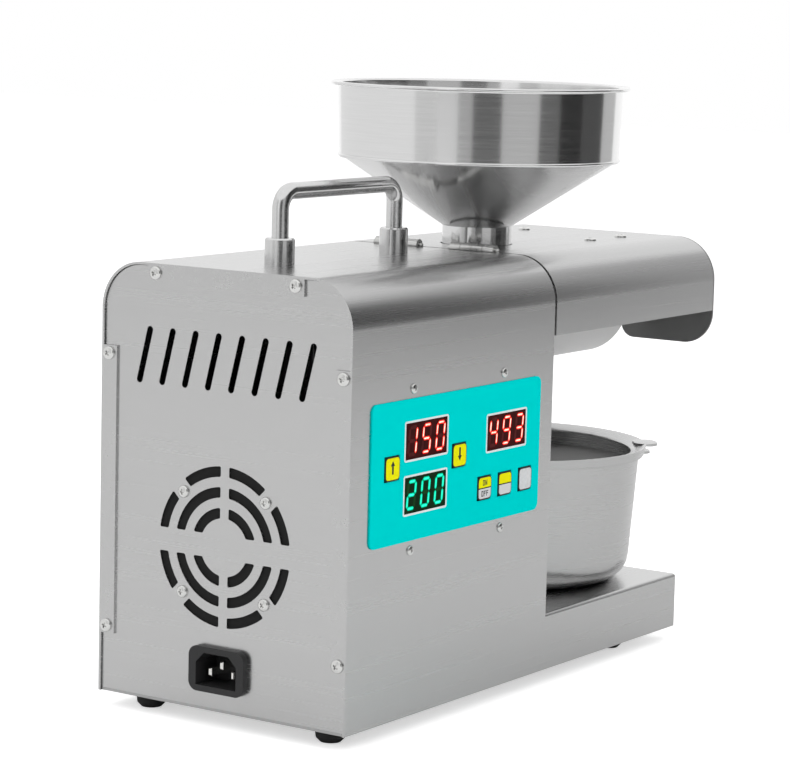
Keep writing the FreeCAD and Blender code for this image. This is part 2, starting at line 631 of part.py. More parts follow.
def display(x, z):
    """Display module standing on the circuit board, its lens almost flush with the panel."""
    w, h = DISPLAY_WIDTH / 2, DISPLAY_HEIGHT / 2
    return box(x - w, x + w, PANEL_Y + DISPLAY_SET_BACK, BOARD_Y, z - h, z + h)


def key(x, z):
    """Square push key with a skirt that stays in its opening over the whole travel."""
    w, h = KEY_WIDTH / 2, KEY_HEIGHT / 2
    return rounded_plate(x - w, x + w, z - h, z + h, KEY_CORNER_R,
                         PANEL_Y - KEY_PROUD, -INNER_SIDE_Y + KEY_TRAVEL)


def control_board():
    x0 = PANEL_X0 + BOARD_MARGIN
    x1 = PANEL_X1 - BOARD_MARGIN
    z0, z1 = PANEL_SCREW_Z[0] - BOARD_MARGIN, PANEL_SCREW_Z[1] + BOARD_MARGIN
    back_y = BOARD_Y + BOARD_THICKNESS
    board = box(x0, x1, BOARD_Y, back_y, z0, z1)
    parts = [board]
    switch_y = -INNER_SIDE_Y + 2 * KEY_TRAVEL + KEY_GAP
    switch_half = 3.0
    for x, z in KEY_CENTRES.values():
        parts.append(box(x - switch_half, x + switch_half, switch_y, BOARD_Y,
                         z - switch_half, z + switch_half))
    relay, relay_depth = 16.0, 14.0
    for x in PANEL_SCREW_X:
        z = PANEL_Z0 + 2 * BOARD_MARGIN
        parts.append(box(x, x + relay, back_y, back_y + relay_depth, z, z + relay))
    board = fuse(parts)
    hole_r = SCREW_SHANK_R + SCREW_HOLE_GAP
    return board.cut([side_pin(x, BOARD_Y - 1, back_y + 1, z, hole_r)
                      for x in PANEL_SCREW_X for z in PANEL_SCREW_Z])


def board_standoffs():
    posts = []
    for x in PANEL_SCREW_X:
        for z in PANEL_SCREW_Z:
            tube = side_pin(x, -INNER_SIDE_Y, BOARD_Y, z, STANDOFF_R)
            hole_r = SCREW_SHANK_R + SCREW_HOLE_GAP
            posts.append(tube.cut(side_pin(x, -INNER_SIDE_Y - 1, BOARD_Y + 1, z, hole_r)))
    return posts


# --- handle ---

def handle():
    """Bent rod: two legs, two quarter bends and the bar, with ends below the top sheet."""
    x0, x1 = HANDLE_REAR_X, HANDLE_REAR_X + HANDLE_SPAN
    low = INNER_TOP_Z - NUT_HEIGHT
    top = BODY_HEIGHT + HANDLE_RISE
    r, k = HANDLE_BEND_R, HANDLE_BEND_R * (1 - math.sqrt(0.5))
    edges = [
        Part.LineSegment(Vector(x0, 0, low), Vector(x0, 0, top - r)).toShape(),
        Part.Arc(Vector(x0, 0, top - r), Vector(x0 + k, 0, top - k), Vector(x0 + r, 0, top)).toShape(),
        Part.LineSegment(Vector(x0 + r, 0, top), Vector(x1 - r, 0, top)).toShape(),
        Part.Arc(Vector(x1 - r, 0, top), Vector(x1 - k, 0, top - k), Vector(x1, 0, top - r)).toShape(),
        Part.LineSegment(Vector(x1, 0, top - r), Vector(x1, 0, low)).toShape(),
    ]
    section = Part.Wire(Part.makeCircle(HANDLE_R, Vector(x0, 0, low), Z_AXIS))
    return Part.Wire(edges).makePipeShell([section], True, False)


def handle_collars():
    rings = []
    for x in (HANDLE_REAR_X, HANDLE_REAR_X + HANDLE_SPAN):
        z0, z1 = BODY_HEIGHT, BODY_HEIGHT + COLLAR_HEIGHT
        hole_r = HANDLE_R + RUNNING_GAP
        rings.append(revolve_z([(hole_r, z0), (COLLAR_R, z0), (COLLAR_R, z1 - COLLAR_CHAMFER),
                                (COLLAR_R - COLLAR_CHAMFER, z1), (hole_r, z1)], x))
    return rings


def handle_nuts():
    nuts = []
    for x in (HANDLE_REAR_X, HANDLE_REAR_X + HANDLE_SPAN):
        base = Vector(x, 0, INNER_TOP_Z - NUT_HEIGHT)
        hole = post(x, 0, base.z - 1, INNER_TOP_Z + 1, HANDLE_R + RUNNING_GAP)
        nuts.append(hexagon(NUT_FLATS, NUT_HEIGHT, base, Z_AXIS).cut(hole))
    return nuts


# --- drive ---

def motor():
    x0, x1 = MOTOR_REAR_X, GEARBOX_REAR_X
    bell = MOTOR_BELL_LENGTH
    return revolve_x([(x0, 0), (x0, MOTOR_BELL_R), (x0 + bell, MOTOR_R), (x1 - bell / 2, MOTOR_R),
                      (x1, MOTOR_R - bell / 2), (x1, 0)], MOTOR_Z)


def gearbox_outline(x0, x1, grow):
    """Pear-shaped housing round the motor axis below and the press axis above."""
    low_r, top_r = GEARBOX_LOW_R + grow, GEARBOX_TOP_R + grow
    lean = math.asin((low_r - top_r) / GEAR_CENTRES)
    web = polygon([
        Vector(x0, -low_r * math.cos(lean), MOTOR_Z + low_r * math.sin(lean)),
        Vector(x0, low_r * math.cos(lean), MOTOR_Z + low_r * math.sin(lean)),
        Vector(x0, top_r * math.cos(lean), PRESS_Z + top_r * math.sin(lean)),
        Vector(x0, -top_r * math.cos(lean), PRESS_Z + top_r * math.sin(lean)),
    ]).extrude(Vector(x1 - x0, 0, 0))
    return fuse([web, rod(x0, x1, 0, MOTOR_Z, low_r), rod(x0, x1, 0, PRESS_Z, top_r)])


def shaft_bore(x0, x1):
    return rod(x0, x1, 0, PRESS_Z, SHAFT_R + RUNNING_GAP)


def gearbox_case():
    split_x = BULKHEAD_REAR_X - GEARBOX_SPLIT
    case = fuse([gearbox_outline(GEARBOX_REAR_X, split_x, -GEARBOX_FLANGE),
                 gearbox_outline(split_x - GEARBOX_FLANGE, split_x, 0)])
    return case.cut(shaft_bore(BULKHEAD_REAR_X - SHAFT_ENGAGEMENT - 1, split_x + 1))


def gearbox_lid():
    split_x = BULKHEAD_REAR_X - GEARBOX_SPLIT
    lid = fuse([gearbox_outline(split_x, split_x + GEARBOX_FLANGE, 0),
                gearbox_outline(split_x, BULKHEAD_REAR_X, -GEARBOX_FLANGE)])
    return lid.cut(shaft_bore(split_x - 1, BULKHEAD_REAR_X + 1))


def motor_bracket():
    """Saddle that carries the motor on the base plate."""
    middle_x = (MOTOR_REAR_X + GEARBOX_REAR_X) / 2
    x0, x1 = middle_x - BRACKET_LENGTH / 2, middle_x + BRACKET_LENGTH / 2
    half = BRACKET_WIDTH / 2
    foot = box(x0, x1, -half, half, BASE_THICKNESS, BASE_THICKNESS + BRACKET_THICKNESS)
    wall_half = MOTOR_R * 0.8
    saddle = box(x0, x1, -wall_half, wall_half, BASE_THICKNESS, MOTOR_Z - MOTOR_R / 2)
    inside = wall_half - BRACKET_THICKNESS
    hollow = box(x0 - 1, x1 + 1, -inside, inside, BASE_THICKNESS + BRACKET_THICKNESS,
                 MOTOR_Z - MOTOR_R - BRACKET_THICKNESS)
    return fuse([foot, saddle]).cut([hollow, rod(x0 - 1, x1 + 1, 0, MOTOR_Z, MOTOR_R + RUNNING_GAP)])


# --- press head ---

def press_barrel():
    """Flanged barrel with the feed throat standing on it."""
    x0 = BULKHEAD_FRONT_X
    body = revolve_x([(x0, 0), (x0, FLANGE_R), (x0 + FLANGE_THICKNESS, FLANGE_R),
                      (x0 + FLANGE_THICKNESS, BARREL_R), (BARREL_END_X, BARREL_R),
                      (BARREL_END_X, 0)], PRESS_Z)
    throat = post(HOPPER_X, 0, PRESS_Z, THROAT_TOP_Z, THROAT_R)
    seat_r = NECK_R + FIT_GAP
    inside_r = NECK_R - HOPPER_WALL
    funnel = revolve_z([(0, PRESS_Z), (THROAT_BOTTOM_R, PRESS_Z), (THROAT_BOTTOM_R, PRESS_Z + BORE_R),
                        (inside_r, SEAT_Z - FIT_GAP), (inside_r, SEAT_Z), (seat_r, SEAT_Z),
                        (seat_r, THROAT_TOP_Z + 1), (0, THROAT_TOP_Z + 1)], HOPPER_X)
    bore = rod(x0 - 1, BARREL_END_X + 1, 0, PRESS_Z, BORE_R)
    return fuse([body, throat]).cut([funnel, bore])


def barrel_bolts():
    """Four bolts that hold the barrel's flange through the bulkhead."""
    bolts = []
    for turn in (45, 135, 225, 315):
        y = FLANGE_BOLT_CIRCLE_R * math.cos(math.radians(turn))
        z = PRESS_Z + FLANGE_BOLT_CIRCLE_R * math.sin(math.radians(turn))
        face_x = BULKHEAD_FRONT_X + FLANGE_THICKNESS
        bolts.append(hexagon(BOLT_HEAD_FLATS, BOLT_HEAD_H, Vector(face_x, y, z), X_AXIS))
    return bolts


def oil_cage():
    """Slotted tube where the oil leaves, with a collar against the barrel."""
    x0, x1 = BARREL_END_X, CAGE_END_X
    cage = revolve_x([(x0, BORE_R), (x0, CAGE_COLLAR_R), (x0 + CAGE_COLLAR_LENGTH, CAGE_COLLAR_R),
                      (x0 + CAGE_COLLAR_LENGTH, BARREL_R), (x1, BARREL_R), (x1, BORE_R)], PRESS_Z)
    slot_x0 = x0 + CAGE_COLLAR_LENGTH
    slots = []
    for i in range(CAGE_SLOTS):
        slot = box(slot_x0, slot_x0 + CAGE_SLOT_LENGTH, -CAGE_SLOT_WIDTH / 2, CAGE_SLOT_WIDTH / 2,
                   BORE_R / 2, BARREL_R + 1)
        slot.rotate(Vector(0, 0, 0), X_AXIS, 360.0 / CAGE_SLOTS * (i + 0.5))
        slot.translate(Vector(0, 0, PRESS_Z))
        slots.append(slot)
    collar_top = PRESS_Z + CAGE_COLLAR_R
    probe_hole = post(PROBE_X, 0, collar_top - PROBE_DEPTH, collar_top + 1, PROBE_R + RUNNING_GAP)
    return cage.cut(slots + [probe_hole])


def heater_band():
    """Split band heater clamped round the barrel, with its terminal block on the side."""
    x1 = BARREL_END_X - 1
    x0 = x1 - HEATER_LENGTH
    outer_r = BARREL_R + RUNNING_GAP + HEATER_THICKNESS
    block_y = outer_r + 4.0
    block = box(x0 + 3, x1 - 3, BARREL_R + 1, block_y, PRESS_Z - 4, PRESS_Z + 4)
    band = fuse([rod(x0, x1, 0, PRESS_Z, outer_r), block])
    split = box(x0 - 1, x1 + 1, -block_y, -BARREL_R + 1, PRESS_Z - 1, PRESS_Z + 1)
    return band.cut([rod(x0 - 1, x1 + 1, 0, PRESS_Z, BARREL_R + RUNNING_GAP), split])


def temperature_probe():
    """Sensor screwed into the top of the cage's collar."""
    z = PRESS_Z + CAGE_COLLAR_R
    nut = hexagon(PROBE_FLATS, PROBE_R, Vector(PROBE_X, 0, z), Z_AXIS)
    return fuse([nut, post(PROBE_X, 0, z - PROBE_DEPTH, z + PROBE_LENGTH, PROBE_R)])


def nose_cap():
    """Cap on the cage's end, with the mouth where the pressed cake comes out."""
    inner_r = BARREL_R + RUNNING_GAP
    cap = revolve_x([(NOSE_START_X, inner_r), (NOSE_START_X, NOSE_R), (NOSE_CONE_X, NOSE_R),
                     (NOSE_TIP_X, NOSE_TIP_R), (NOSE_END_X, NOSE_TIP_R), (NOSE_END_X, NOSE_MOUTH_R),
                     (NOSE_TIP_X, NOSE_MOUTH_R), (NOSE_CONE_X, BORE_R), (CAGE_END_X, BORE_R),
                     (CAGE_END_X, inner_r)], PRESS_Z)
    grooves = []
    for i in range(NOSE_GROOVES):
        turn = math.radians(360.0 / NOSE_GROOVES * i)
        y, z = NOSE_R * math.cos(turn), PRESS_Z + NOSE_R * math.sin(turn)
        grooves.append(rod(NOSE_START_X - 1, NOSE_START_X + NOSE_GRIP, y, z, NOSE_GROOVE_R))
    return cap.cut(grooves)


def flight(x, turn, pitch, turns):
    """One stretch of the screw's flight, wound forwards from x."""
    tip_r = BORE_R - SCREW_TIP_GAP
    base_r = ROOT_REAR_R - 1
    half = FLIGHT_WIDTH / 2
    helix = Part.makeHelix(pitch, pitch * turns, tip_r)
    profile = Part.makePolygon([Vector(base_r, 0, -half), Vector(tip_r, 0, -half * 0.6),
                                Vector(tip_r, 0, half * 0.6), Vector(base_r, 0, half),
                                Vector(base_r, 0, -half)])
    sweep = Part.BRepOffsetAPI.MakePipeShell(Part.Wire(helix))
    sweep.setFrenetMode(True)
    sweep.add(profile)
    sweep.build()
    sweep.makeSolid()
    solid = sweep.shape()
    solid.rotate(Vector(0, 0, 0), Z_AXIS, turn)
    solid.rotate(Vector(0, 0, 0), Y_AXIS, 90)
    solid.translate(Vector(x, 0, PRESS_Z))
    return solid


def press_screw():
    """Shaft, thrust collar, tapered root and flights that tighten towards the nose."""
    length = sum(pitch * turns for pitch, turns in FLIGHT_ZONES)
    end_x = NOSE_CONE_X - FLIGHT_WIDTH
    start_x = end_x - length
    collar_r = BORE_R - SCREW_TIP_GAP
    collar_x = BULKHEAD_FRONT_X + 1
    root = revolve_x([(BULKHEAD_REAR_X - SHAFT_ENGAGEMENT, 0), (BULKHEAD_REAR_X - SHAFT_ENGAGEMENT, SHAFT_R),
                      (collar_x, SHAFT_R), (collar_x, collar_r), (collar_x + SHAFT_R, collar_r),
                      (collar_x + SHAFT_R, ROOT_REAR_R), (start_x, ROOT_REAR_R),
                      (end_x, ROOT_FRONT_R), (end_x + SCREW_CONE_LENGTH, SCREW_CONE_TIP_R),
                      (end_x + SCREW_CONE_LENGTH, 0)], PRESS_Z)
    pieces, x, turn = [root], start_x, 0.0
    for pitch, turns in FLIGHT_ZONES:
        pieces.append(flight(x, turn, pitch, turns))
        x += pitch * turns
        turn += 360.0 * turns
    barrel_room = rod(start_x - SHAFT_R, end_x, 0, PRESS_Z, BORE_R - SCREW_TIP_GAP)
    flights = fuse(pieces[1:]).common(barrel_room)
    return fuse([root, flights])


def oil_trough():
    """Half-round trough, carried by the flange behind and by its end wall in front."""
    x0, x1 = BULKHEAD_FRONT_X, TROUGH_END_X
    lower = box(x0 - 1, x1 + 1, -TROUGH_R - 1, TROUGH_R + 1, PRESS_Z - TROUGH_R - 1, PRESS_Z)
    hollow = rod(x0 - 1, x1 - SHEET, 0, PRESS_Z, TROUGH_R - SHEET)
    nose = rod(x0 - 1, x1 + 1, 0, PRESS_Z, NOSE_R + FIT_GAP)
    outlet = post(POT_X, 0, PRESS_Z - TROUGH_R - 1, PRESS_Z, TROUGH_HOLE_R)
    return rod(x0, x1, 0, PRESS_Z, TROUGH_R).common(lower).cut([hollow, nose, outlet])


# --- head cover ---

def head_cover():
    x1 = COVER_FRONT_X - SHEET
    cover = arch(COVER_REAR_X, x1, 0, COVER_SIDE_Z)
    cover = cover.cut(arch(COVER_REAR_X - 1, x1 + 1, SHEET, COVER_SIDE_Z - 1))
    cuts = hinge_notches(COVER_REAR_X - 1, HINGE_X + HINGE_NOTCH, INNER_TOP_Z - 1, BODY_HEIGHT + 1)
    cuts.append(post(HOPPER_X, 0, INNER_TOP_Z - 1, BODY_HEIGHT + 1, NECK_R + NECK_HOLE_GAP))
    cuts += [post(x, y, INNER_TOP_Z - 1, BODY_HEIGHT + 1, SCREW_SHANK_R + SCREW_HOLE_GAP)
             for x, y in cover_screw_places()]
    return cover.cut(cuts)


def cover_front():
    """Front plate: full section above, two rounded lobes below with the nose's notch between."""
    x0, x1 = COVER_FRONT_X - SHEET, COVER_FRONT_X
    plate = arch(x0, x1, 0, COVER_LOBE_Z)
    outer = [e for e in plate.Edges if abs(e.tangentAt(e.FirstParameter).x) > 0.9
             and max(v.Z for v in e.Vertexes) < COVER_LOBE_Z + 1]
    plate = plate.makeFillet(LOBE_OUTER_R, outer)
    notch = fuse([box(x0 - 1, x1 + 1, -COVER_NOTCH_HALF, COVER_NOTCH_HALF, COVER_LOBE_Z - 1, PRESS_Z),
                  rod(x0 - 1, x1 + 1, 0, PRESS_Z, COVER_NOTCH_HALF)])
    plate = plate.cut(notch)
    inner = [e for e in plate.Edges if abs(e.tangentAt(e.FirstParameter).x) > 0.9
             and max(v.Z for v in e.Vertexes) < COVER_LOBE_Z + 1
             and max(abs(v.Y) for v in e.Vertexes) < COVER_NOTCH_HALF + 1]
    return plate.makeFillet(LOBE_INNER_R, inner)


def cover_screw_places():
    return [(x, side * COVER_SCREW_Y) for x in COVER_SCREW_X for side in (1, -1)]


def cover_stiffener():
    x0, x1 = COVER_SCREW_X[0] - STIFFENER_MARGIN, COVER_SCREW_X[1] + STIFFENER_MARGIN
    half = COVER_SCREW_Y + STIFFENER_MARGIN
    low = INNER_TOP_Z - STIFFENER_THICKNESS
    plate = box(x0, x1, -half, half, low, INNER_TOP_Z)
    hole_r = SCREW_SHANK_R + SCREW_HOLE_GAP
    return plate.cut([post(x, y, low - 1, INNER_TOP_Z + 1, hole_r) for x, y in cover_screw_places()])


def cover_screws():
    return [fuse([post(x, y, BODY_HEIGHT, BODY_HEIGHT + COVER_HEAD_H, COVER_HEAD_R),
                  post(x, y, BODY_HEIGHT - SCREW_LENGTH, BODY_HEIGHT, SCREW_SHANK_R)])
            for x, y in cover_screw_places()]


def hinge_half(first, direction):
    """Leaf with every second knuckle of both hinges, from knuckle number first.

    direction is -1 for the leaf under the housing's top and 1 for the one under the cover's."""
    leaves = []
    z0, z1 = INNER_TOP_Z - LEAF_THICKNESS, INNER_TOP_Z
    near_x = HINGE_X + direction * HINGE_NOTCH
    far_x = near_x + direction * LEAF_LENGTH
    for side in (1, -1):
        start, end = HINGE_START_Y, HINGE_START_Y + HINGE_LENGTH
        y0, y1 = (start, end) if side > 0 else (-end, -start)
        parts = [box(min(near_x, far_x), max(near_x, far_x), y0, y1, z0, z1)]
        for i in range(first, KNUCKLES, 2):
            a = start + i * (KNUCKLE_LENGTH + KNUCKLE_GAP)
            b = a + KNUCKLE_LENGTH
            ky0, ky1 = (a, b) if side > 0 else (-b, -a)
            parts.append(box(min(HINGE_X, near_x), max(HINGE_X, near_x), ky0, ky1, z0, z1))
            parts.append(side_pin(HINGE_X, ky0, ky1, HINGE_Z, KNUCKLE_R))
        bore = side_pin(HINGE_X, y0 - 1, y1 + 1, HINGE_Z, HINGE_PIN_R + RUNNING_GAP)
        leaves.append(fuse(parts).cut(bore))
    return leaves


def hinge_pins():
    pins = []
    for side in (1, -1):
        a, b = HINGE_START_Y - PIN_TIP, HINGE_START_Y + HINGE_LENGTH + PIN_TIP
        y0, y1 = (a, b) if side > 0 else (-b, -a)
        pin = side_pin(HINGE_X, y0, y1, HINGE_Z, HINGE_PIN_R)
        ends = [e for e in pin.Edges if isinstance(e.Curve, Part.Circle)]
        pins.append(pin.makeChamfer(HINGE_PIN_R / 2, ends))
    return pins


# --- hopper, pot and strainer ---

def hopper():
    """Funnel of thin sheet: cone, upright wall and rolled rim."""
    t = HOPPER_WALL
    profile = [(NECK_R, NECK_TOP_Z), (CONE_TOP_R, CONE_TOP_Z),
               (RIM_WALL_R, RIM_Z - 2 * RIM_BEAD_R), (RIM_R - RIM_BEAD_R, RIM_Z - 2 * RIM_BEAD_R),
               (RIM_R, RIM_Z - RIM_BEAD_R), (RIM_R - RIM_BEAD_R, RIM_Z),
               (RIM_WALL_R - t, RIM_Z - t / 2), (CONE_TOP_R - t, CONE_TOP_Z + t / 2),
               (NECK_R - t, NECK_TOP_Z)]
    return revolve_z(profile, HOPPER_X)


def hopper_neck():
    """Tube welded under the cone, which passes through the cover and stands in the throat."""
    return post(HOPPER_X, 0, SEAT_Z, NECK_TOP_Z, NECK_R).cut(
        post(HOPPER_X, 0, SEAT_Z - 1, NECK_TOP_Z + 1, NECK_R - HOPPER_WALL))


def pot_outline(offset):
    """(radius, z) points up the pot's outside, moved inwards by offset."""
    z0 = TRAY_HEIGHT
    steps = 5
    wall_low_r = POT_FLOOR_R + POT_CORNER_R
    points = [(0, z0 + offset)]
    for i in range(steps + 1):
        a = math.radians(90.0 * i / steps)
        r = POT_CORNER_R - offset
        points.append((POT_FLOOR_R + r * math.sin(a), z0 + POT_CORNER_R - r * math.cos(a)))
    return points + [(POT_TOP_R + (wall_low_r - POT_FLOOR_R - POT_CORNER_R) - offset, POT_TOP_Z)]


def pot():
    outside = pot_outline(0)
    inside = pot_outline(POT_WALL)
    bead = POT_BEAD_R
    rim = [(POT_TOP_R + 2 * bead, POT_TOP_Z), (POT_TOP_R + 2 * bead, POT_TOP_Z + bead),
           (POT_TOP_R - POT_WALL, POT_TOP_Z + bead)]
    bowl = revolve_z(outside + rim + list(reversed(inside)), POT_X)
    return fuse([bowl] + ears(POT_TOP_R + 1, POT_TOP_R + EAR_REACH, POT_TOP_Z - 0.4, EAR_HALF_WIDTH * 0.7))


def ears(inner_r, outer_r, z, half_width):
    """Two flat lugs on opposite sides, rounded at their tips, each with a hole."""
    lugs = []
    for angle in EAR_ANGLES:
        tip = half_width * 0.75
        lug = fuse([box(inner_r, outer_r - tip, -half_width, half_width, z, z + EAR_THICKNESS),
                    post(outer_r - tip, half_width - tip, z, z + EAR_THICKNESS, tip),
                    post(outer_r - tip, tip - half_width, z, z + EAR_THICKNESS, tip)])
        lug.rotate(Vector(0, 0, 0), Z_AXIS, angle)
        lug.translate(Vector(POT_X, 0, 0))
        lugs.append(lug)
    return lugs


def strainer():
    """Ring that rests on the pot's rim, with a short wall down to the mesh."""
    t = STRAINER_SHEET
    rest_z = POT_TOP_Z + POT_BEAD_R
    low = STRAINER_TOP_Z - STRAINER_DEPTH
    wall = STRAINER_WALL_R
    ring = revolve_z([(wall - t, low), (wall, low), (wall, rest_z + t), (STRAINER_RIM_R - t, rest_z),
                      (STRAINER_RIM_R, STRAINER_TOP_Z), (STRAINER_RIM_R - t, STRAINER_TOP_Z),
                      (wall, rest_z + 2 * t), (wall - t, rest_z + t)], POT_X)
    return fuse([ring] + ears(STRAINER_RIM_R - t / 2, STRAINER_RIM_R + EAR_REACH,
                              STRAINER_TOP_Z - EAR_THICKNESS, EAR_HALF_WIDTH))


def strainer_mesh():
    low = STRAINER_TOP_Z - STRAINER_DEPTH
    return post(POT_X, 0, low - MESH_THICKNESS, low, STRAINER_WALL_R)


def save(name, shape):
    """Moves one node to the press's own frame and writes it."""
    solids = shape if isinstance(shape, list) else [shape]
    node = solids[0] if len(solids) == 1 else Part.makeCompound(solids)
    node = node.copy()
    node.translate(-ORIGIN)
    node.exportStep(os.path.join("parts", name + ".step"))


def main():
    os.makedirs("parts", exist_ok=True)
    nodes = {
        "shell": shell(), "rear_plate": rear_plate(), "front_bulkhead": front_bulkhead(),
        "base_plate": base_plate(), "base_tray": base_tray(), "feet": feet(),
        "tab_screws": tab_screws(), "fan_screws": fan_screws(), "panel_screws": panel_screws(),
        "dust_filter": dust_filter(), "fan_frame": fan_frame(), "fan_rotor": fan_rotor(),
        "power_inlet": power_inlet(), "inlet_pins": inlet_pins(), "control_panel": control_panel(),
        "control_board": control_board(), "board_standoffs": board_standoffs(),
        "handle": handle(), "handle_collars": handle_collars(), "handle_nuts": handle_nuts(),
        "motor": motor(), "motor_bracket": motor_bracket(), "gearbox_case": gearbox_case(),
        "gearbox_lid": gearbox_lid(), "press_barrel": press_barrel(), "barrel_bolts": barrel_bolts(),
        "oil_cage": oil_cage(), "heater_band": heater_band(), "temperature_probe": temperature_probe(),
        "nose_cap": nose_cap(), "press_screw": press_screw(), "oil_trough": oil_trough(),
        "head_cover": head_cover(), "cover_front": cover_front(), "cover_stiffener": cover_stiffener(),
        "cover_screws": cover_screws(), "hinge_body_leaves": hinge_half(0, -1),
        "hinge_cover_leaves": hinge_half(1, 1), "hinge_pins": hinge_pins(), "hopper": hopper(),
        "hopper_neck": hopper_neck(), "pot": pot(), "strainer": strainer(),
        "strainer_mesh": strainer_mesh(),
    }
    for name, (x, z) in DISPLAY_CENTRES.items():
        nodes[name] = display(x, z)
    for name, (x, z) in KEY_CENTRES.items():
        nodes[name] = key(x, z)
    for name, shape in nodes.items():
        save(name, shape)


main()
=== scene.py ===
import contextlib
import json
import math

import bmesh
import bpy
from mathutils import Matrix, Vector

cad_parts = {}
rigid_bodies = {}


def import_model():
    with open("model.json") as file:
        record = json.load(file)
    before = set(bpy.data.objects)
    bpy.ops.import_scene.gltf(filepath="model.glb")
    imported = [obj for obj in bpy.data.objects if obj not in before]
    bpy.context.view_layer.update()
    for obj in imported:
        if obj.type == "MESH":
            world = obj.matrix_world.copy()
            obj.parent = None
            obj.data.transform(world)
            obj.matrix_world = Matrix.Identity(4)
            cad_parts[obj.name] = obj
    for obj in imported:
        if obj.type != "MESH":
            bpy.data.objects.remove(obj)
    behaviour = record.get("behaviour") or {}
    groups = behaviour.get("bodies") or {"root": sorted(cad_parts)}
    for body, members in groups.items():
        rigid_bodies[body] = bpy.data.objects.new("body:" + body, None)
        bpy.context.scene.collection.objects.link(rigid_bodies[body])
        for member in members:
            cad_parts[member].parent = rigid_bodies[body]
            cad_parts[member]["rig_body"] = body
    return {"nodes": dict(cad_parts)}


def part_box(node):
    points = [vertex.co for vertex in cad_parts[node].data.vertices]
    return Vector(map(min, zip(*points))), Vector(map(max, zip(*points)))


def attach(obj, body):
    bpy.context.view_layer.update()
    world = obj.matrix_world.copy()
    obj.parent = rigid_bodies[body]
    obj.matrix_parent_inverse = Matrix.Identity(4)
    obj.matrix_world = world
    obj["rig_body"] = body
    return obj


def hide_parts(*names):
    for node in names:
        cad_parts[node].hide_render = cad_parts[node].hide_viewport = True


bl_info = {
    "name": "Screw Oil Press",
    "version": (1, 0, 0),
    "blender": (4, 5, 0),
    "location": "View3D > Sidebar > Oil Press",
    "description": "Dresses the packed screw oil press and sets its studio",
    "category": "Object",
}

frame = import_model()
NODES = frame["nodes"]
BODY_OF = {node: obj["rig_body"] for node, obj in NODES.items()}
MM = 0.001
WELD = 1e-6  # vertices of a CAD node nearer than this are one
SHEET_ANGLE, PART_ANGLE = 28, 30  # degrees above which an edge of a sheet or a solid piece shades hard
SKIN = 0.00001  # lift of a printed mark off the face below it


def low(node):
    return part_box(node)[0]


def high(node):
    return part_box(node)[1]


# --- meshes -------------------------------------------------------------------------------------

def add_object(name, data):
    """A new object of the scene that holds a mesh, lamp or camera."""
    obj = bpy.data.objects.new(name, data)
    bpy.context.scene.collection.objects.link(obj)
    return obj


@contextlib.contextmanager
def editing(mesh):
    """A mesh opened for edits, which are written back at the end."""
    bm = bmesh.new()
    bm.from_mesh(mesh)
    yield bm
    bm.to_mesh(mesh)
    bm.free()


def mesh_object(name, verts, faces):
    """A mesh with its faces turned outward."""
    mesh = bpy.data.meshes.new(name)
    mesh.from_pydata([tuple(v) for v in verts], [], faces)
    mesh.validate()
    with editing(mesh) as bm:
        bmesh.ops.recalc_face_normals(bm, faces=bm.faces)
    return add_object(name, mesh)


def bake_modifiers(obj):
    bpy.context.view_layer.update()
    evaluated = obj.evaluated_get(bpy.context.evaluated_depsgraph_get())
    mesh = bpy.data.meshes.new_from_object(evaluated)
    old = obj.data
    obj.modifiers.clear()
    obj.data = mesh
    mesh.name = obj.name
    bpy.data.meshes.remove(old)


def shade(obj, degrees, weighted=True):
    """Smooth faces with hard edges above an angle, flats kept true by weighted normals."""
    limit = math.radians(degrees)
    with editing(obj.data) as bm:
        for face in bm.faces:
            face.smooth = True
        for edge in bm.edges:
            edge.smooth = edge.is_manifold and edge.calc_face_angle(0.0) < limit
    if weighted:
        modifier = obj.modifiers.new("Weighted", "WEIGHTED_NORMAL")
        modifier.keep_sharp = True
        modifier.weight = 90
        bake_modifiers(obj)
    return obj


def finish(obj, node, material=None, stands_for=True):
    """Gives a piece its material, its CAD node's body and, where asked, the node's place."""
    if material is not None:
        obj.data.materials.clear()
        obj.data.materials.append(material)
    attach(obj, BODY_OF[node])
    if stands_for:
        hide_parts(node)


def dress(node, name, material, degrees=PART_ANGLE):
    """A welded, smooth-shading copy of a CAD node that stands for it."""
    obj = add_object(name, NODES[node].data.copy())
    with editing(obj.data) as bm:
        bmesh.ops.remove_doubles(bm, verts=bm.verts, dist=WELD)
        bmesh.ops.dissolve_degenerate(bm, edges=bm.edges, dist=WELD / 10)
    finish(shade(obj, degrees), node, material)


def polar(radius, degrees):
    angle = math.radians(degrees)
    return radius * math.cos(angle), radius * math.sin(angle)


def arc(cx, cz, radius, start, end, steps):
    """Points along an arc, angles in degrees."""
    turns = (polar(radius, start + (end - start) * i / steps) for i in range(steps + 1))
    return [(cx + x, cz + z) for x, z in turns]


def net(rows, columns, rows_close=False, columns_close=True):
    """Faces between neighbouring points of a grid, joined end to end where it closes."""
    faces = []
    for i in range(rows if rows_close else rows - 1):
        j = (i + 1) % rows
        for k in range(columns if columns_close else columns - 1):
            m = (k + 1) % columns
            faces.append((i * columns + k, j * columns + k, j * columns + m, i * columns + m))
    return faces


def lathe(name, profile, centre_x, steps=160, degrees=50):
    """Turned shell from a closed loop of (radius, height) points in millimetres."""
    verts = []
    for i in range(steps):
        across, along = polar(MM, 360 * i / steps)
        verts += [(centre_x + r * across, r * along, z * MM) for r, z in profile]
    return shade(mesh_object(name, verts, net(steps, len(profile), True)), degrees)


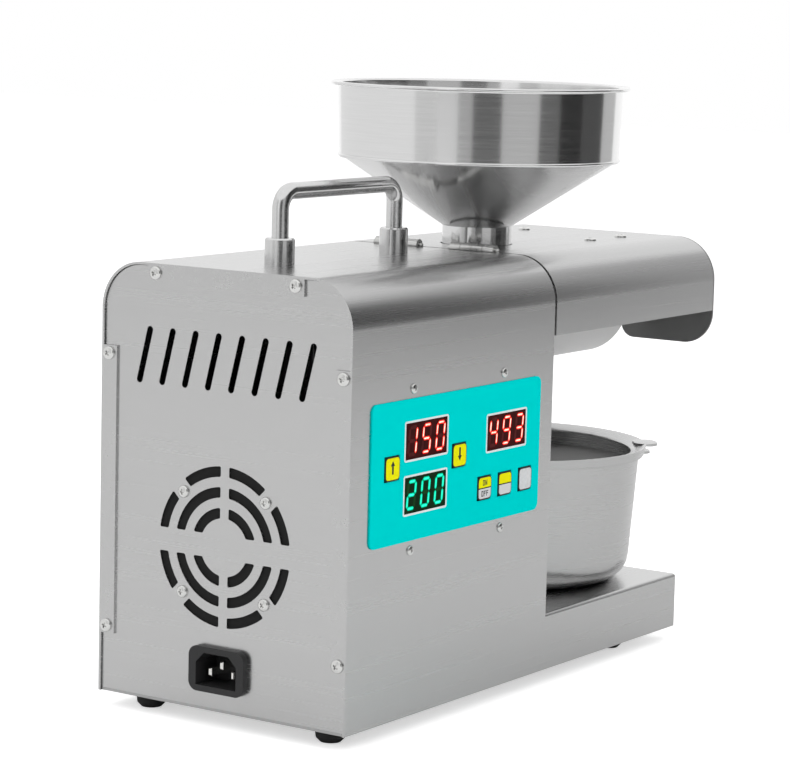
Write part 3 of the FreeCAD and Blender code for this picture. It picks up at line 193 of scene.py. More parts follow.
def tube(name, points, radius, sides=32):
    """Round rod along a line of points in the XZ plane, closed at both ends."""
    side = Vector((0, 1, 0))
    verts = []
    for i, point in enumerate(points):
        ahead = points[min(i + 1, len(points) - 1)] - points[max(i - 1, 0)]
        across = ahead.normalized().cross(side).normalized()
        for s in range(sides):
            a, b = polar(radius, 360 * s / sides)
            verts.append(point + a * side + b * across)
    last = (len(points) - 1) * sides
    faces = net(len(points), sides) + [tuple(range(sides)), tuple(range(last, last + sides))]
    return shade(mesh_object(name, verts, faces), 60, False)


def flat_shape(name, points, y, depth):
    """Thin plate of any outline in x and z, standing out of a face that looks along -Y."""
    n = len(points)
    verts = [(px, level, pz) for level in (y, y - depth) for px, pz in points]
    return mesh_object(name, verts, [tuple(range(n)), tuple(range(n, 2 * n))] + net(2, n))


def rounded(x0, x1, z0, z1, r, steps=6):
    """Outline of a rectangle with rounded corners."""
    points = []
    corners = ((x1 - r, z1 - r), (x0 + r, z1 - r), (x0 + r, z0 + r), (x1 - r, z0 + r))
    for start, (cx, cz) in zip((0, 90, 180, 270), corners):
        points += arc(cx, cz, r, start, start + 90, steps)
    return points


def plate_ring(name, x0, x1, z0, z1, width, y, depth, corner):
    """Rectangular ring with rounded corners, lying on a face that looks along -Y."""
    outer = rounded(x0 - width, x1 + width, z0 - width, z1 + width, corner + width)
    inner = rounded(x0, x1, z0, z1, corner)
    verts = [(px, level, pz)
             for ring, level in ((outer, y), (inner, y), (inner, y - depth), (outer, y - depth))
             for px, pz in ring]
    return mesh_object(name, verts, net(4, len(outer), True))


def join(name, objects):
    """One mesh from several."""
    bm = bmesh.new()
    for obj in objects:
        bm.from_mesh(obj.data)
        bpy.data.objects.remove(obj)
    mesh = bpy.data.meshes.new(name)
    bm.to_mesh(mesh)
    bm.free()
    return add_object(name, mesh)


# --- node trees ---------------------------------------------------------------------------------

def feed(tree, socket, value):
    """Links an output into a socket, or sets the socket's own value."""
    if isinstance(value, bpy.types.NodeSocket):
        tree.links.new(value, socket)
    else:
        socket.default_value = value


def add_node(tree, kind, **inputs):
    """A new node with its sockets fed by name, an underscore standing for a space."""
    node = tree.nodes.new(kind)
    for label, value in inputs.items():
        feed(tree, node.inputs[label.replace("_", " ")], value)
    return node


def calculate(tree, operation, *values):
    """Output of a maths node."""
    node = tree.nodes.new("ShaderNodeMath")
    node.operation = operation
    for socket, value in zip(node.inputs, values):
        feed(tree, socket, value)
    return node.outputs[0]


def combine(tree, **parts):
    """Vector output from its X, Y and Z."""
    return add_node(tree, "ShaderNodeCombineXYZ", **parts).outputs[0]


# --- materials ----------------------------------------------------------------------------------

def rgb(values, gain=1.0):
    return tuple(min(1.0, v * gain) for v in values[:3])


class Surface:
    """A node material under construction."""

    def __init__(self, name, **values):
        self.material = bpy.data.materials.new(name)
        self.material.use_nodes = True
        self.tree = self.material.node_tree
        self.shader = self.tree.nodes["Principled BSDF"]
        self.coords = self.tree.nodes.new("ShaderNodeTexCoord").outputs["Object"]
        self.set(**values)

    def set(self, **values):
        """Feeds the shader's sockets by name."""
        for label, value in values.items():
            feed(self.tree, self.shader.inputs[label.replace("_", " ")], value)

    def noise(self, scale, size, detail, rough):
        mapping = add_node(self.tree, "ShaderNodeMapping", Vector=self.coords, Scale=scale)
        texture = add_node(self.tree, "ShaderNodeTexNoise", Vector=mapping.outputs["Vector"],
                           Scale=size, Detail=detail, Roughness=rough)
        return texture.outputs["Fac"]

    def ramp(self, pattern, first, second, start=0.3, end=0.7):
        node = add_node(self.tree, "ShaderNodeValToRGB", Fac=pattern)
        for element, place, colour in zip(node.color_ramp.elements, (start, end), (first, second)):
            element.position = place
            element.color = (*colour, 1)
        return node.outputs["Color"]

    def tint(self, pattern, tone, darkest, lightest):
        """Base colour that wanders about a tone."""
        self.set(Base_Color=self.ramp(pattern, rgb(tone, darkest), rgb(tone, lightest)))

    def wear(self, pattern, least, most):
        """Roughness that wanders between two values."""
        node = add_node(self.tree, "ShaderNodeMapRange", Value=pattern, From_Min=0.3, From_Max=0.7,
                        To_Min=least, To_Max=most)
        self.set(Roughness=node.outputs["Result"])

    def mix(self, share, first, second):
        node = self.tree.nodes.new("ShaderNodeMix")
        node.data_type = "RGBA"
        for index, value in ((0, share), (6, first), (7, second)):  # its factor and colour sockets
            feed(self.tree, node.inputs[index], value)
        return node.outputs[2]

    def bump(self, height, strength, distance):
        node = add_node(self.tree, "ShaderNodeBump", Strength=strength, Distance=distance, Height=height)
        self.set(Normal=node.outputs["Normal"])


def satin_sheet(name, tone, grain, rough, spread=0.025):
    """Ground stainless sheet, its fine lines running along the axis where grain is smallest."""
    s = Surface(name, Metallic=1.0)
    fine, broad = (s.noise(tuple(stretch * g if g < 1 else g for g in grain), size, detail, jagged)
                   for stretch, size, detail, jagged in ((0.25, 900.0, 4.0, 0.7), (0.5, 120.0, 3.0, 0.6)))
    lines = calculate(s.tree, "ADD", calculate(s.tree, "MULTIPLY", fine, 0.6),
                      calculate(s.tree, "MULTIPLY", broad, 0.4))
    s.tint(lines, tone, 1 - spread, 1 + spread)
    s.wear(lines, rough - 0.025, rough + 0.03)
    s.bump(fine, 0.025, 0.00003)
    return s.material


def polished_steel(name, tone, rough, spun=True):
    """Bright steel, with the faint rings that spinning leaves."""
    s = Surface(name, Metallic=1.0)
    rings = s.noise((2, 2, 160) if spun else (40, 40, 40), 12.0, 3.0, 0.6)
    s.tint(rings, tone, 0.97, 1.02)
    s.wear(rings, rough * 0.8, rough * 1.25)
    s.bump(rings, 0.03, 0.00002)
    return s.material


def lacquer(name, tone, rough=0.45, grain=600.0, metallic=0.0, strength=0.1, specular=0.3):
    """Paint, plastic, rubber or cast alloy with a fine speckle."""
    s = Surface(name, Metallic=metallic, Specular_IOR_Level=specular)
    speckle = s.noise((1, 1, 1), grain, 4.0, 0.6)
    s.tint(speckle, tone, 0.93, 1.07)
    s.wear(speckle, rough - 0.05, rough + 0.05)
    s.bump(speckle, strength, 0.00005)
    return s.material


def turned_metal(name, tone, rough=0.28):
    """Machined steel with fine tool marks round the press axis."""
    s = Surface(name, Metallic=1.0)
    marks = s.noise((400, 3, 3), 6.0, 3.0, 0.6)
    s.tint(marks, tone, 0.93, 1.05)
    s.wear(marks, rough - 0.05, rough + 0.07)
    s.bump(marks, 0.08, 0.00004)
    return s.material


def glowing(name, tone, strength, edge):
    """A lit segment, whitest in its middle."""
    s = Surface(name, Roughness=0.5, Specular_IOR_Level=0.0, Emission_Strength=strength)
    colour = s.ramp(s.noise((1, 1, 1), 500.0, 2.0, 0.5), edge, tone, 0.35, 0.65)
    s.set(Base_Color=colour, Emission_Color=colour)
    return s.material


def lens(name, tone):
    """Dark plastic over a display, or a segment of it that is not lit."""
    s = Surface(name, Roughness=0.35, Specular_IOR_Level=0.03)
    s.tint(s.noise((1, 1, 1), 220.0, 2.0, 0.5), tone, 0.8, 1.25)
    return s.material


def panel_film(name, tone):
    """Printed matt film."""
    s = Surface(name, Roughness=0.6, Specular_IOR_Level=0.0)
    grain = s.noise((1, 1, 1), 1200.0, 2.0, 0.5)
    s.tint(grain, tone, 0.985, 1.01)
    s.bump(grain, 0.04, 0.00002)
    return s.material


def split_key(name, upper, lower, seam_z):
    """Key cap in two colours, with a dark line between them."""
    s = Surface(name, Roughness=0.6, Specular_IOR_Level=0.0)
    z = add_node(s.tree, "ShaderNodeSeparateXYZ", Vector=s.coords).outputs["Z"]
    body = s.mix(calculate(s.tree, "GREATER_THAN", z, seam_z), (*lower, 1), (*upper, 1))
    off_seam = calculate(s.tree, "ABSOLUTE", calculate(s.tree, "SUBTRACT", z, seam_z))
    seam = calculate(s.tree, "LESS_THAN", off_seam, 0.00028)
    s.set(Base_Color=s.mix(seam, body, (0.02, 0.03, 0.03, 1)))
    s.bump(s.noise((1, 1, 1), 900.0, 2.0, 0.5), 0.05, 0.00003)
    return s.material


# --- settings the panel shows -------------------------------------------------------------------

def tone_property(name, description, colour):
    return bpy.props.FloatVectorProperty(
        name=name, description=description, subtype="COLOR", size=3, default=colour, min=0, max=1)


def length_property(name, description, default, least, most):
    return bpy.props.FloatProperty(
        name=name, description=description, default=default, min=least, max=most, unit="LENGTH")


def number_property(name, description, default, least, most, unit="NONE"):
    return bpy.props.FloatProperty(
        name=name, description=description, default=default, min=least, max=most, unit=unit)


class PressFinish(bpy.types.PropertyGroup):
    body_tone: tone_property("Body steel", "Base colour of the housing's satin sheet", (0.55, 0.55, 0.55))
    bright_tone: tone_property("Bright steel", "Base colour of the spun hopper and pot", (0.78, 0.78, 0.78))
    panel_tone: tone_property("Panel film", "Colour of the control panel's film", (0.0, 0.74, 0.715))
    key_tone: tone_property("Key yellow", "Colour of the yellow keys", (0.93, 0.90, 0.01))
    body_rough: number_property("Sheet roughness", "Roughness of the satin sheet", 0.26, 0.05, 1)


class DisplaySettings(bpy.types.PropertyGroup):
    digit_height: length_property("Digit height", "Height of a seven-segment digit", 0.0150, 0.005, 0.03)
    digit_width: length_property("Digit width", "Width of a seven-segment digit", 0.0082, 0.003, 0.02)
    digit_pitch: length_property("Digit pitch", "Distance from one digit to the next", 0.0122, 0.004, 0.03)
    lean: number_property("Lean", "Sideways run of a digit for each unit of its height", 0.1, 0, 0.4)
    stroke: length_property("Stroke", "Width of a segment", 0.0018, 0.0004, 0.004)
    border: length_property(
        "Border", "Width of the white frame printed round a display", 0.0010, 0.0002, 0.004)


class FastenerSettings(bpy.types.PropertyGroup):
    tab_head: length_property(
        "Tab screw head", "Diameter of the rear plate's screw heads", 0.0068, 0.003, 0.012)
    panel_head: length_property(
        "Panel screw head", "Diameter of the panel's screw heads", 0.0050, 0.002, 0.012)
    recess: number_property(
        "Cross recess", "Share of a head's width that its cross recess takes", 0.62, 0.2, 0.9)


class MeshSettings(bpy.types.PropertyGroup):
    wire_pitch: length_property("Wire pitch", "Distance between the strainer's wires", 0.0018, 0.0008, 0.006)
    wire_width: length_property("Wire width", "Thickness of the strainer's wires", 0.0005, 0.0002, 0.002)


class StudioSettings(bpy.types.PropertyGroup):
    lens_length: number_property("Lens", "Focal length of the camera", 132.73, 20, 300, "CAMERA")
    key_power: number_property("Key light", "Power of the large soft light", 16.0, 0, 1000, "POWER")
    floor_lift: number_property("Floor lift", "How far the floor's tone is raised towards white", 0.55, 0, 1)


# --- body sheet and works -----------------------------------------------------------------------

ALONG_X, ALONG_Y, PLAIN = (0.02, 1, 1), (1, 0.02, 1), (1, 1, 1)


class PRESS_OT_housing(bpy.types.Operator):
    """Ground stainless sheet of the housing, tray, trough and cover"""
    bl_idname = "press.housing"
    bl_label = "Housing and cover sheet"

    def execute(self, context):
        f = context.scene.press_finish
        body = satin_sheet("Satin sheet, lines along the press", f.body_tone, ALONG_X, f.body_rough)
        rear = satin_sheet("Satin sheet, lines across the press", f.body_tone, ALONG_Y, f.body_rough)
        inner = satin_sheet("Plain zinc sheet", rgb(f.body_tone, 0.8), PLAIN, 0.42)
        # The front plate is the body's sheet darkened to 0.62 of its tone as painted shade, because its inner
        # face lies in shadow
        shaded_front = satin_sheet("Front plate sheet", rgb(f.body_tone, 0.62), ALONG_Y, 0.5)
        tray = satin_sheet("Tray sheet", f.body_tone, ALONG_X, f.body_rough)
        trough = satin_sheet("Trough sheet", rgb(f.body_tone, 0.85), ALONG_X, 0.3)
        for node, material in (("shell", body), ("head_cover", body), ("rear_plate", rear),
                               ("cover_front", shaded_front), ("base_tray", tray), ("oil_trough", trough),
                               ("front_bulkhead", inner), ("base_plate", inner),
                               ("motor_bracket", inner), ("cover_stiffener", inner)):
            dress(node, node + "_sheet", material, SHEET_ANGLE)
        return {"FINISHED"}


class PRESS_OT_drive(bpy.types.Operator):
    """Motor, gearbox, fan, filter, board and inlet"""
    bl_idname = "press.drive"
    bl_label = "Drive and electrics"

    def execute(self, context):
        finishes = {
            "motor": lacquer("Motor lacquer", (0.05, 0.05, 0.055), 0.4),
            "gearbox_case": lacquer("Die-cast alloy", (0.5, 0.5, 0.51), 0.45, 300.0, 1.0, 0.2),
            "fan_frame": lacquer("Fan frame plastic", (0.02, 0.02, 0.02), 0.5),
            "dust_filter": lacquer("Filter foam", (0.012, 0.012, 0.012), 0.9, 1500.0, 0.0, 0.6),
            "power_inlet": lacquer("Inlet plastic", (0.025, 0.025, 0.026), 0.38),
            "inlet_pins": polished_steel("Nickel pins", (0.82, 0.81, 0.78), 0.2, False),
            "control_board": lacquer("Board solder mask", (0.02, 0.12, 0.05), 0.35),
            "feet": lacquer("Foot rubber", (0.018, 0.018, 0.018), 0.6),
        }
        shared = {"gearbox_lid": "gearbox_case", "fan_rotor": "fan_frame", "board_standoffs": "inlet_pins",
                  "temperature_probe": "inlet_pins"}
        for node in list(finishes) + list(shared):
            dress(node, node + "_piece", finishes[shared.get(node, node)])
        return {"FINISHED"}


class PRESS_OT_press_head(bpy.types.Operator):
    """Barrel, cage, nose, screw and heater"""
    bl_idname = "press.head"
    bl_label = "Press head"

    def execute(self, context):
        steel = turned_metal("Turned press steel", (0.52, 0.52, 0.51))
        brass = turned_metal("Heater band brass", (0.66, 0.47, 0.2), 0.35)
        for node in ("press_barrel", "oil_cage", "nose_cap", "press_screw", "barrel_bolts"):
            dress(node, node + "_piece", steel)
        dress("heater_band", "heater_band_piece", brass)
        return {"FINISHED"}


# --- control panel ------------------------------------------------------------------------------

SEGMENTS = {"0": "abcdef", "1": "bc", "2": "abged", "3": "abgcd", "4": "fgbc", "5": "afgcd",
            "6": "afgedc", "7": "abc", "8": "abcdefg", "9": "abcdfg"}
LYING = "adg"  # the segments that run across a digit


def segment_shapes(x, z, w, h, stroke, lean):
    """Six-sided outlines of the seven segments of one digit, lower left corner at x, z."""
    half, gap = stroke / 2, stroke * 0.12
    left, right, bottom, top = x + half, x + w - half, z + half, z + h - half
    centre, mid, rise = (left + right) / 2, (bottom + top) / 2, (top - bottom) / 2
    middles = {"a": (centre, top), "g": (centre, mid), "d": (centre, bottom),
               "f": (left, mid + rise / 2), "b": (right, mid + rise / 2),
               "e": (left, mid - rise / 2), "c": (right, mid - rise / 2)}
    shapes = {}
    for key, (cx, cz) in middles.items():
        end = (right - left if key in LYING else rise) / 2 - gap
        bar = [(-end, 0), (half - end, half), (end - half, half),
               (end, 0), (end - half, -half), (half - end, -half)]
        points = [(cx + u, cz + v) if key in LYING else (cx + v, cz - u) for u, v in bar]
        shapes[key] = [(px + lean * (pz - z), pz) for px, pz in points]
    return shapes


def segment_core(points, lies, lean, along=0.8, across=0.45):
    """Smaller outline in the middle of a lit segment, where it is whitest."""
    cx, cz = (sum(values) / len(points) for values in zip(*points))
    if lies:
        return [(cx + along * (px - cx), cz + across * (pz - cz)) for px, pz in points]
    return [(px - (1 - across) * (px - cx - lean * (pz - cz)), cz + along * (pz - cz)) for px, pz in points]


class PRESS_OT_displays(bpy.types.Operator):
    """Lenses, printed frames and seven-segment digits of the three displays"""
    bl_idname = "press.displays"
    bl_label = "Displays"

    def execute(self, context):
        d = context.scene.press_display
        white = lacquer("Printed white", (0.86, 0.88, 0.88), 0.4)
        red = (lens("Red display lens", (0.045, 0.003, 0.003)),
               glowing("Lit red segment", (0.98, 0.05, 0.03), 0.55, (0.9, 0.02, 0.015)),
               glowing("Lit red core", (1.0, 0.75, 0.62), 0.8, (1.0, 0.5, 0.4)),
               lens("Unlit red segment", (0.085, 0.012, 0.012)))
        green = (lens("Green display lens", (0.002, 0.022, 0.004)),
                 glowing("Lit green segment", (0.0, 0.62, 0.36), 0.45, (0.0, 0.55, 0.30)),
                 glowing("Lit green core", (0.05, 0.98, 0.66), 0.6, (0.02, 0.9, 0.55)),
                 lens("Unlit green segment", (0.006, 0.055, 0.012)))
        for node, text, (glass, *inks) in (("display_actual", "150", red), ("display_target", "200", green),
                                           ("display_timer", "493", red)):
            dress(node, node + "_lens", glass, SHEET_ANGLE)
            for ending, shapes, ink in zip(("_lit", "_core", "_unlit"), self.digits(node, text, d), inks):
                finish(join(node + ending, shapes), node, ink, False)
            a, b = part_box(node)
            grow = 0.0004 - d.border
            ring = plate_ring(node + "_frame", a.x - grow, b.x + grow, a.z - grow, b.z + grow, d.border,
                              low("control_panel").y + 0.0001, 0.0002, 0.0003)
            finish(ring, "control_panel", white, False)
        return {"FINISHED"}

    def digits(self, node, text, d):
        """Plates of the lit segments, of their cores and of the unlit segments."""
        a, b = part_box(node)
        x0 = (a.x + b.x) / 2 - (2 * d.digit_pitch + d.digit_width) / 2 - 0.0005  # set back against the lean
        z0 = (a.z + b.z) / 2 - d.digit_height / 2
        lit, cores, unlit = [], [], []
        for i, digit in enumerate(text):
            x = x0 + i * d.digit_pitch
            segments = segment_shapes(x, z0, d.digit_width, d.digit_height, d.stroke, d.lean)
            for key, points in segments.items():
                if key in SEGMENTS[digit]:
                    core = segment_core(points, key in LYING, d.lean)
                    lit.append(flat_shape("segment", points, a.y - SKIN, 6 * SKIN))
                    cores.append(flat_shape("core", core, a.y - 6 * SKIN, 3 * SKIN))
                else:
                    unlit.append(flat_shape("segment", points, a.y - SKIN, 3 * SKIN))
        return lit, cores, unlit


def letters(text, cx, z, h):
    """Stroke outlines of the plain capitals O, N and F, centred on cx with their feet at z."""
    w, t = h * 0.62, h * 0.17
    pitch = w * 1.3
    bars = {"O": [(0, 0, t, h), (w - t, 0, w, h), (t, 0, w - t, t), (t, h - t, w - t, h)],
            "N": [(0, 0, t, h), (w - t, 0, w, h)],
            "F": [(0, 0, t, h), (t, h - t, w, h), (t, h * 0.45, w * 0.85, h * 0.45 + t)]}
    x = cx - (pitch * (len(text) - 1) + w) / 2
    strokes = []
    for letter in text:
        strokes += [[(x + a, z + b), (x + c, z + b), (x + c, z + d), (x + a, z + d)]
                    for a, b, c, d in bars[letter]]
        if letter == "N":
            strokes.append([(x + t, z + h), (x + t, z + h * 0.72), (x + w - t, z), (x + w - t, z + h * 0.28)])
        x += pitch
    return strokes


def arrow(x, z, size, up):
    """Outline of a short arrow about a point."""
    s = 1 if up else -1
    shaft, head, neck, tip = size * 0.11, size * 0.27, size * 0.12, size * 0.5
    points = [(-shaft, -tip), (shaft, -tip), (shaft, neck), (head, neck), (0, tip),
              (-head, neck), (-shaft, neck)]
    return [(x + px, z + s * pz) for px, pz in points]


class PRESS_OT_keys(bpy.types.Operator):
    """Panel film, key caps, their printed outlines and arrows"""
    bl_idname = "press.keys"
    bl_label = "Panel and keys"

    def execute(self, context):
        f = context.scene.press_finish
        dress("control_panel", "panel_film", panel_film("Panel film", f.panel_tone), SHEET_ANGLE)
        ink = lacquer("Key outline ink", (0.012, 0.02, 0.02), 0.5)
        yellow, grey = f.key_tone, (0.72, 0.73, 0.74)
        edge, corner = 0.0007, 0.0018
        for node, tone in (("key_up", yellow), ("key_down", yellow), ("key_power", None),
                           ("key_press", None), ("key_clear", grey)):
            a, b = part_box(node)
            cx, cz = (a.x + b.x) / 2, (a.z + b.z) / 2
            if tone is None:
                cap = split_key(node + " cap", yellow, grey, cz)
            else:
                cap = lacquer(node + " cap", tone, 0.6, strength=0.02, specular=0.0)
            face = rounded(a.x + edge, b.x - edge, a.z + edge, b.z - edge, corner)
            finish(flat_shape(node + "_cap", face, a.y + 0.0004, 0.0004), node, cap)
            skirt = rounded(a.x, b.x, a.z, b.z, corner + edge)
            finish(flat_shape(node + "_skirt", skirt, b.y, b.y - a.y - 0.00015), node, ink)
            if tone is yellow:
                self.mark(node, "_arrow", [arrow(cx, cz + 0.0006, 0.0066, node == "key_up")], a.y, ink)
            if node == "key_power":
                strokes = letters("ON", cx, cz + 0.0013, 0.0028) + letters("OFF", cx, cz - 0.0042, 0.0028)
                self.mark(node, "_marks", strokes, a.y, ink)
        return {"FINISHED"}

    def mark(self, node, ending, outlines, y, ink):
        """Printed signs that stand a hair out of a key's cap."""
        plates = [flat_shape("stroke", outline, y + SKIN, 4 * SKIN) for outline in outlines]
        finish(join(node + ending, plates), node, ink, False)


# --- hopper, pot and handle ---------------------------------------------------------------------

class PRESS_OT_hopper(bpy.types.Operator):
    """Spun funnel with its rolled rim, seam bead and neck"""
    bl_idname = "press.hopper"
    bl_label = "Hopper"

    def execute(self, context):
        steel = polished_steel("Spun bright steel", context.scene.press_finish.bright_tone, 0.13)
        a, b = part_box("hopper")
        neck_low, neck_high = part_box("hopper_neck")
        top, base = b.z / MM, neck_high.z / MM
        rim_r, neck_r = (b.x - a.x) / 2 / MM, (neck_high.x - neck_low.x) / 2 / MM
        wall_r, cone_r, cone_rise = 76.8, 75.7, 36.9  # outside of the wall, edge of the cone, its height
        sheet, bead = 1.0, 0.95  # thickness of the cone, radius of the rolled rim
        seam = base + cone_rise
        roll = top - 2 * bead  # foot of the rolled rim
        profile = [(neck_r, base), (cone_r - 1.6, seam - 1.05)]
        profile += arc(cone_r - 0.1, seam, sheet, -80, 80, 8)
        profile += [(wall_r, roll - 0.8)]
        profile += arc(wall_r + sheet, roll - 0.2, 0.8, 150, 95, 4)
        profile += arc(rim_r - bead, top - bead, bead, -75, 120, 12)
        profile += arc(wall_r + 0.6, top - 1.4, 1.3, 100, 170, 5)
        profile += [(cone_r - sheet, seam + 0.3), (cone_r - 2 * sheet, seam - 0.4), (neck_r - sheet, base)]
        finish(lathe("hopper_bowl", profile, (a.x + b.x) / 2), "hopper", steel)
        dress("hopper_neck", "hopper_neck_tube", steel)
        return {"FINISHED"}


class PRESS_OT_pot(bpy.types.Operator):
    """Spun pot with its rim, and the strainer's ring that rests on it"""
    bl_idname = "press.pot"
    bl_label = "Pot and strainer"

    def execute(self, context):
        steel = polished_steel("Pot steel", rgb(context.scene.press_finish.bright_tone, 0.68), 0.24)
        dress("pot", "pot_shell", steel)
        dress("strainer", "strainer_ring", steel)
        return {"FINISHED"}


def geometry_tree(name, **inputs):
    """A Geometry Nodes tree with named inputs of the kinds given, its input node and its output node."""
    tree = bpy.data.node_groups.new(name, "GeometryNodeTree")
    for label, kind in (("Geometry", "Geometry"), *inputs.items()):
        tree.interface.new_socket(label, in_out="INPUT", socket_type="NodeSocket" + kind)
    tree.interface.new_socket("Geometry", in_out="OUTPUT", socket_type="NodeSocketGeometry")
    return tree, tree.nodes.new("NodeGroupInput"), tree.nodes.new("NodeGroupOutput")


def end_tree(tree, instances, metal, end):
    """Turns instances into one mesh of one metal, the tree's result."""
    real = add_node(tree, "GeometryNodeRealizeInstances", Geometry=instances)
    painted = add_node(tree, "GeometryNodeSetMaterial", Geometry=real.outputs["Geometry"], Material=metal)
    feed(tree, end.inputs["Geometry"], painted.outputs["Geometry"])


def run_tree(name, tree, values, points=((0, 0, 0),)):
    """Evaluates a tree on a small mesh of points and returns its result as a plain mesh object."""
    mesh = bpy.data.meshes.new(name)
    mesh.from_pydata([tuple(p) for p in points], [], [])
    obj = add_object(name, mesh)
    modifier = obj.modifiers.new("Pattern", "NODES")
    modifier.node_group = tree
    for item in tree.interface.items_tree:
        if item.in_out == "INPUT" and item.name in values:
            modifier[item.identifier] = values[item.name]
    bake_modifiers(obj)
    return obj


def woven_wire():
    """Node tree that lays two crossed layers of straight wires across a disc."""
    tree, start, end = geometry_tree(
        "Woven wire", Radius="Float", Pitch="Float", Width="Float", Wire="Material")
    radius, pitch, width = (start.outputs[label] for label in ("Radius", "Pitch", "Width"))

    def calc(operation, *values):
        return calculate(tree, operation, *values)

    each_side = calc("FLOOR", calc("DIVIDE", radius, pitch))
    count = add_node(tree, "FunctionNodeFloatToInt", Float=calc("ADD", calc("MULTIPLY", each_side, 2.0), 1.0))
    first = combine(tree, X=calc("MULTIPLY", calc("MULTIPLY", each_side, pitch), -1.0))
    row = add_node(tree, "GeometryNodeMeshLine", Count=count.outputs[0], Start_Location=first,
                   Offset=combine(tree, X=pitch))
    position = tree.nodes.new("GeometryNodeInputPosition").outputs[0]
    x = add_node(tree, "ShaderNodeSeparateXYZ", Vector=position).outputs["X"]
    rest = calc("SUBTRACT", calc("MULTIPLY", radius, radius), calc("MULTIPLY", x, x))
    chord = calc("MULTIPLY", calc("SQRT", calc("MAXIMUM", rest, 0.0)), 2.0)
    bar = add_node(tree, "GeometryNodeMeshCube", Size=(1, 1, 1))
    wires = add_node(tree, "GeometryNodeInstanceOnPoints", Points=row.outputs["Mesh"],
                     Instance=bar.outputs["Mesh"], Scale=combine(tree, X=width, Y=chord, Z=width))
    layers = tree.nodes.new("GeometryNodeJoinGeometry")
    for turn, lift in ((0.0, -0.4), (math.pi / 2, 0.4)):
        layer = add_node(tree, "GeometryNodeTransform", Geometry=wires.outputs["Instances"],
                         Rotation=(0, 0, turn), Translation=combine(tree, Z=calc("MULTIPLY", width, lift)))
        feed(tree, layers.inputs["Geometry"], layer.outputs["Geometry"])
    end_tree(tree, layers.outputs["Geometry"], start.outputs["Wire"], end)
    return tree


class PRESS_OT_strainer_mesh(bpy.types.Operator):
    """Woven wire of the strainer, laid out by a node tree"""
    bl_idname = "press.strainer_mesh"
    bl_label = "Strainer mesh"

    def execute(self, context):
        m = context.scene.press_mesh
        a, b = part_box("strainer_mesh")
        metal = polished_steel("Strainer wire", (0.42, 0.42, 0.42), 0.35, False)
        wires = run_tree("strainer_wires", woven_wire(), {
            "Radius": (b.x - a.x) / 2 - 0.0002, "Pitch": m.wire_pitch, "Width": m.wire_width, "Wire": metal})
        wires.data.transform(Matrix.Translation(((a.x + b.x) / 2, 0, (a.z + b.z) / 2)))
        finish(wires, "strainer_mesh")
        return {"FINISHED"}


class PRESS_OT_handle(bpy.types.Operator):
    """Polished rod handle with its collars"""
    bl_idname = "press.handle"
    bl_label = "Handle"

    def execute(self, context):
        steel = polished_steel("Polished handle rod", (0.7, 0.7, 0.7), 0.16, False)
        a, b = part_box("handle")
        rod_r, bend = 0.00425, 0.009
        x0, x1, top = a.x + 0.004, b.x - 0.004, b.z - 0.0043
        line = [(x0, a.z)] + arc(x0 + bend, top - bend, bend, 180, 90, 12)
        line += arc(x1 - bend, top - bend, bend, 90, 0, 12) + [(x1, a.z)]
        finish(tube("handle_rod", [Vector((px, 0, pz)) for px, pz in line], rod_r), "handle", steel)
        dress("handle_collars", "handle_collar_rings", steel)
        dress("handle_nuts", "handle_nut_pair", steel)
        return {"FINISHED"}


class PRESS_OT_hinges(bpy.types.Operator):
    """Rolled hinges at the seam"""
    bl_idname = "press.hinges"
    bl_label = "Hinges"

    def execute(self, context):
        steel = polished_steel("Rolled hinge steel", (0.66, 0.66, 0.65), 0.22, False)
        for node in ("hinge_body_leaves", "hinge_cover_leaves", "hinge_pins"):
            dress(node, node + "_piece", steel)
        return {"FINISHED"}


# --- screws -------------------------------------------------------------------------------------

def screw_head(name, radius, height, recess):
    """Pan head with a cross recess, its seat at the origin and its crown along +Z."""
    steps, dome_steps, rim = 32, 6, 0.35  # the rim is the upright share of the height
    dome = (polar(1, 90 * i / dome_steps) for i in range(dome_steps))
    rings = [(radius, 0.0)]
    rings += [(radius * (0.98 * across + 0.02), height * (rim + (1 - rim) * rise)) for across, rise in dome]
    verts = [(*polar(r, 360 * i / steps), z) for r, z in rings for i in range(steps)]
    foot, crown, last = len(verts), len(verts) + 1, len(verts) - steps
    faces = net(len(rings), steps)
    for i in range(steps):
        j = (i + 1) % steps
        faces += [(foot, j, i), (last + i, last + j, crown)]
    head = mesh_object(name, verts + [(0, 0, 0), (0, 0, height)], faces)
    arm, half, deep, foot_share = radius * recess, radius * 0.13, height * 0.6, 0.45
    cutters = []
    for turn in (0, math.pi / 2):
        cutter = add_object(name + "_cut", bpy.data.meshes.new(name + "_cut"))
        with editing(cutter.data) as bm:
            bmesh.ops.create_cube(bm, size=2.0)
            for v in bm.verts:
                spread = 1.0 if v.co.z > 0 else foot_share
                v.co = Vector((v.co.x * arm * spread, v.co.y * half, height + v.co.z * deep))
            bmesh.ops.rotate(bm, verts=bm.verts, cent=(0, 0, 0), matrix=Matrix.Rotation(turn, 3, "Z"))
        cutters.append(cutter)
        modifier = head.modifiers.new("Recess", "BOOLEAN")
        modifier.operation = "DIFFERENCE"
        modifier.solver = "EXACT"
        modifier.object = cutter
    bake_modifiers(head)
    for cutter in cutters:
        bpy.data.objects.remove(cutter)
    return shade(head, 40)


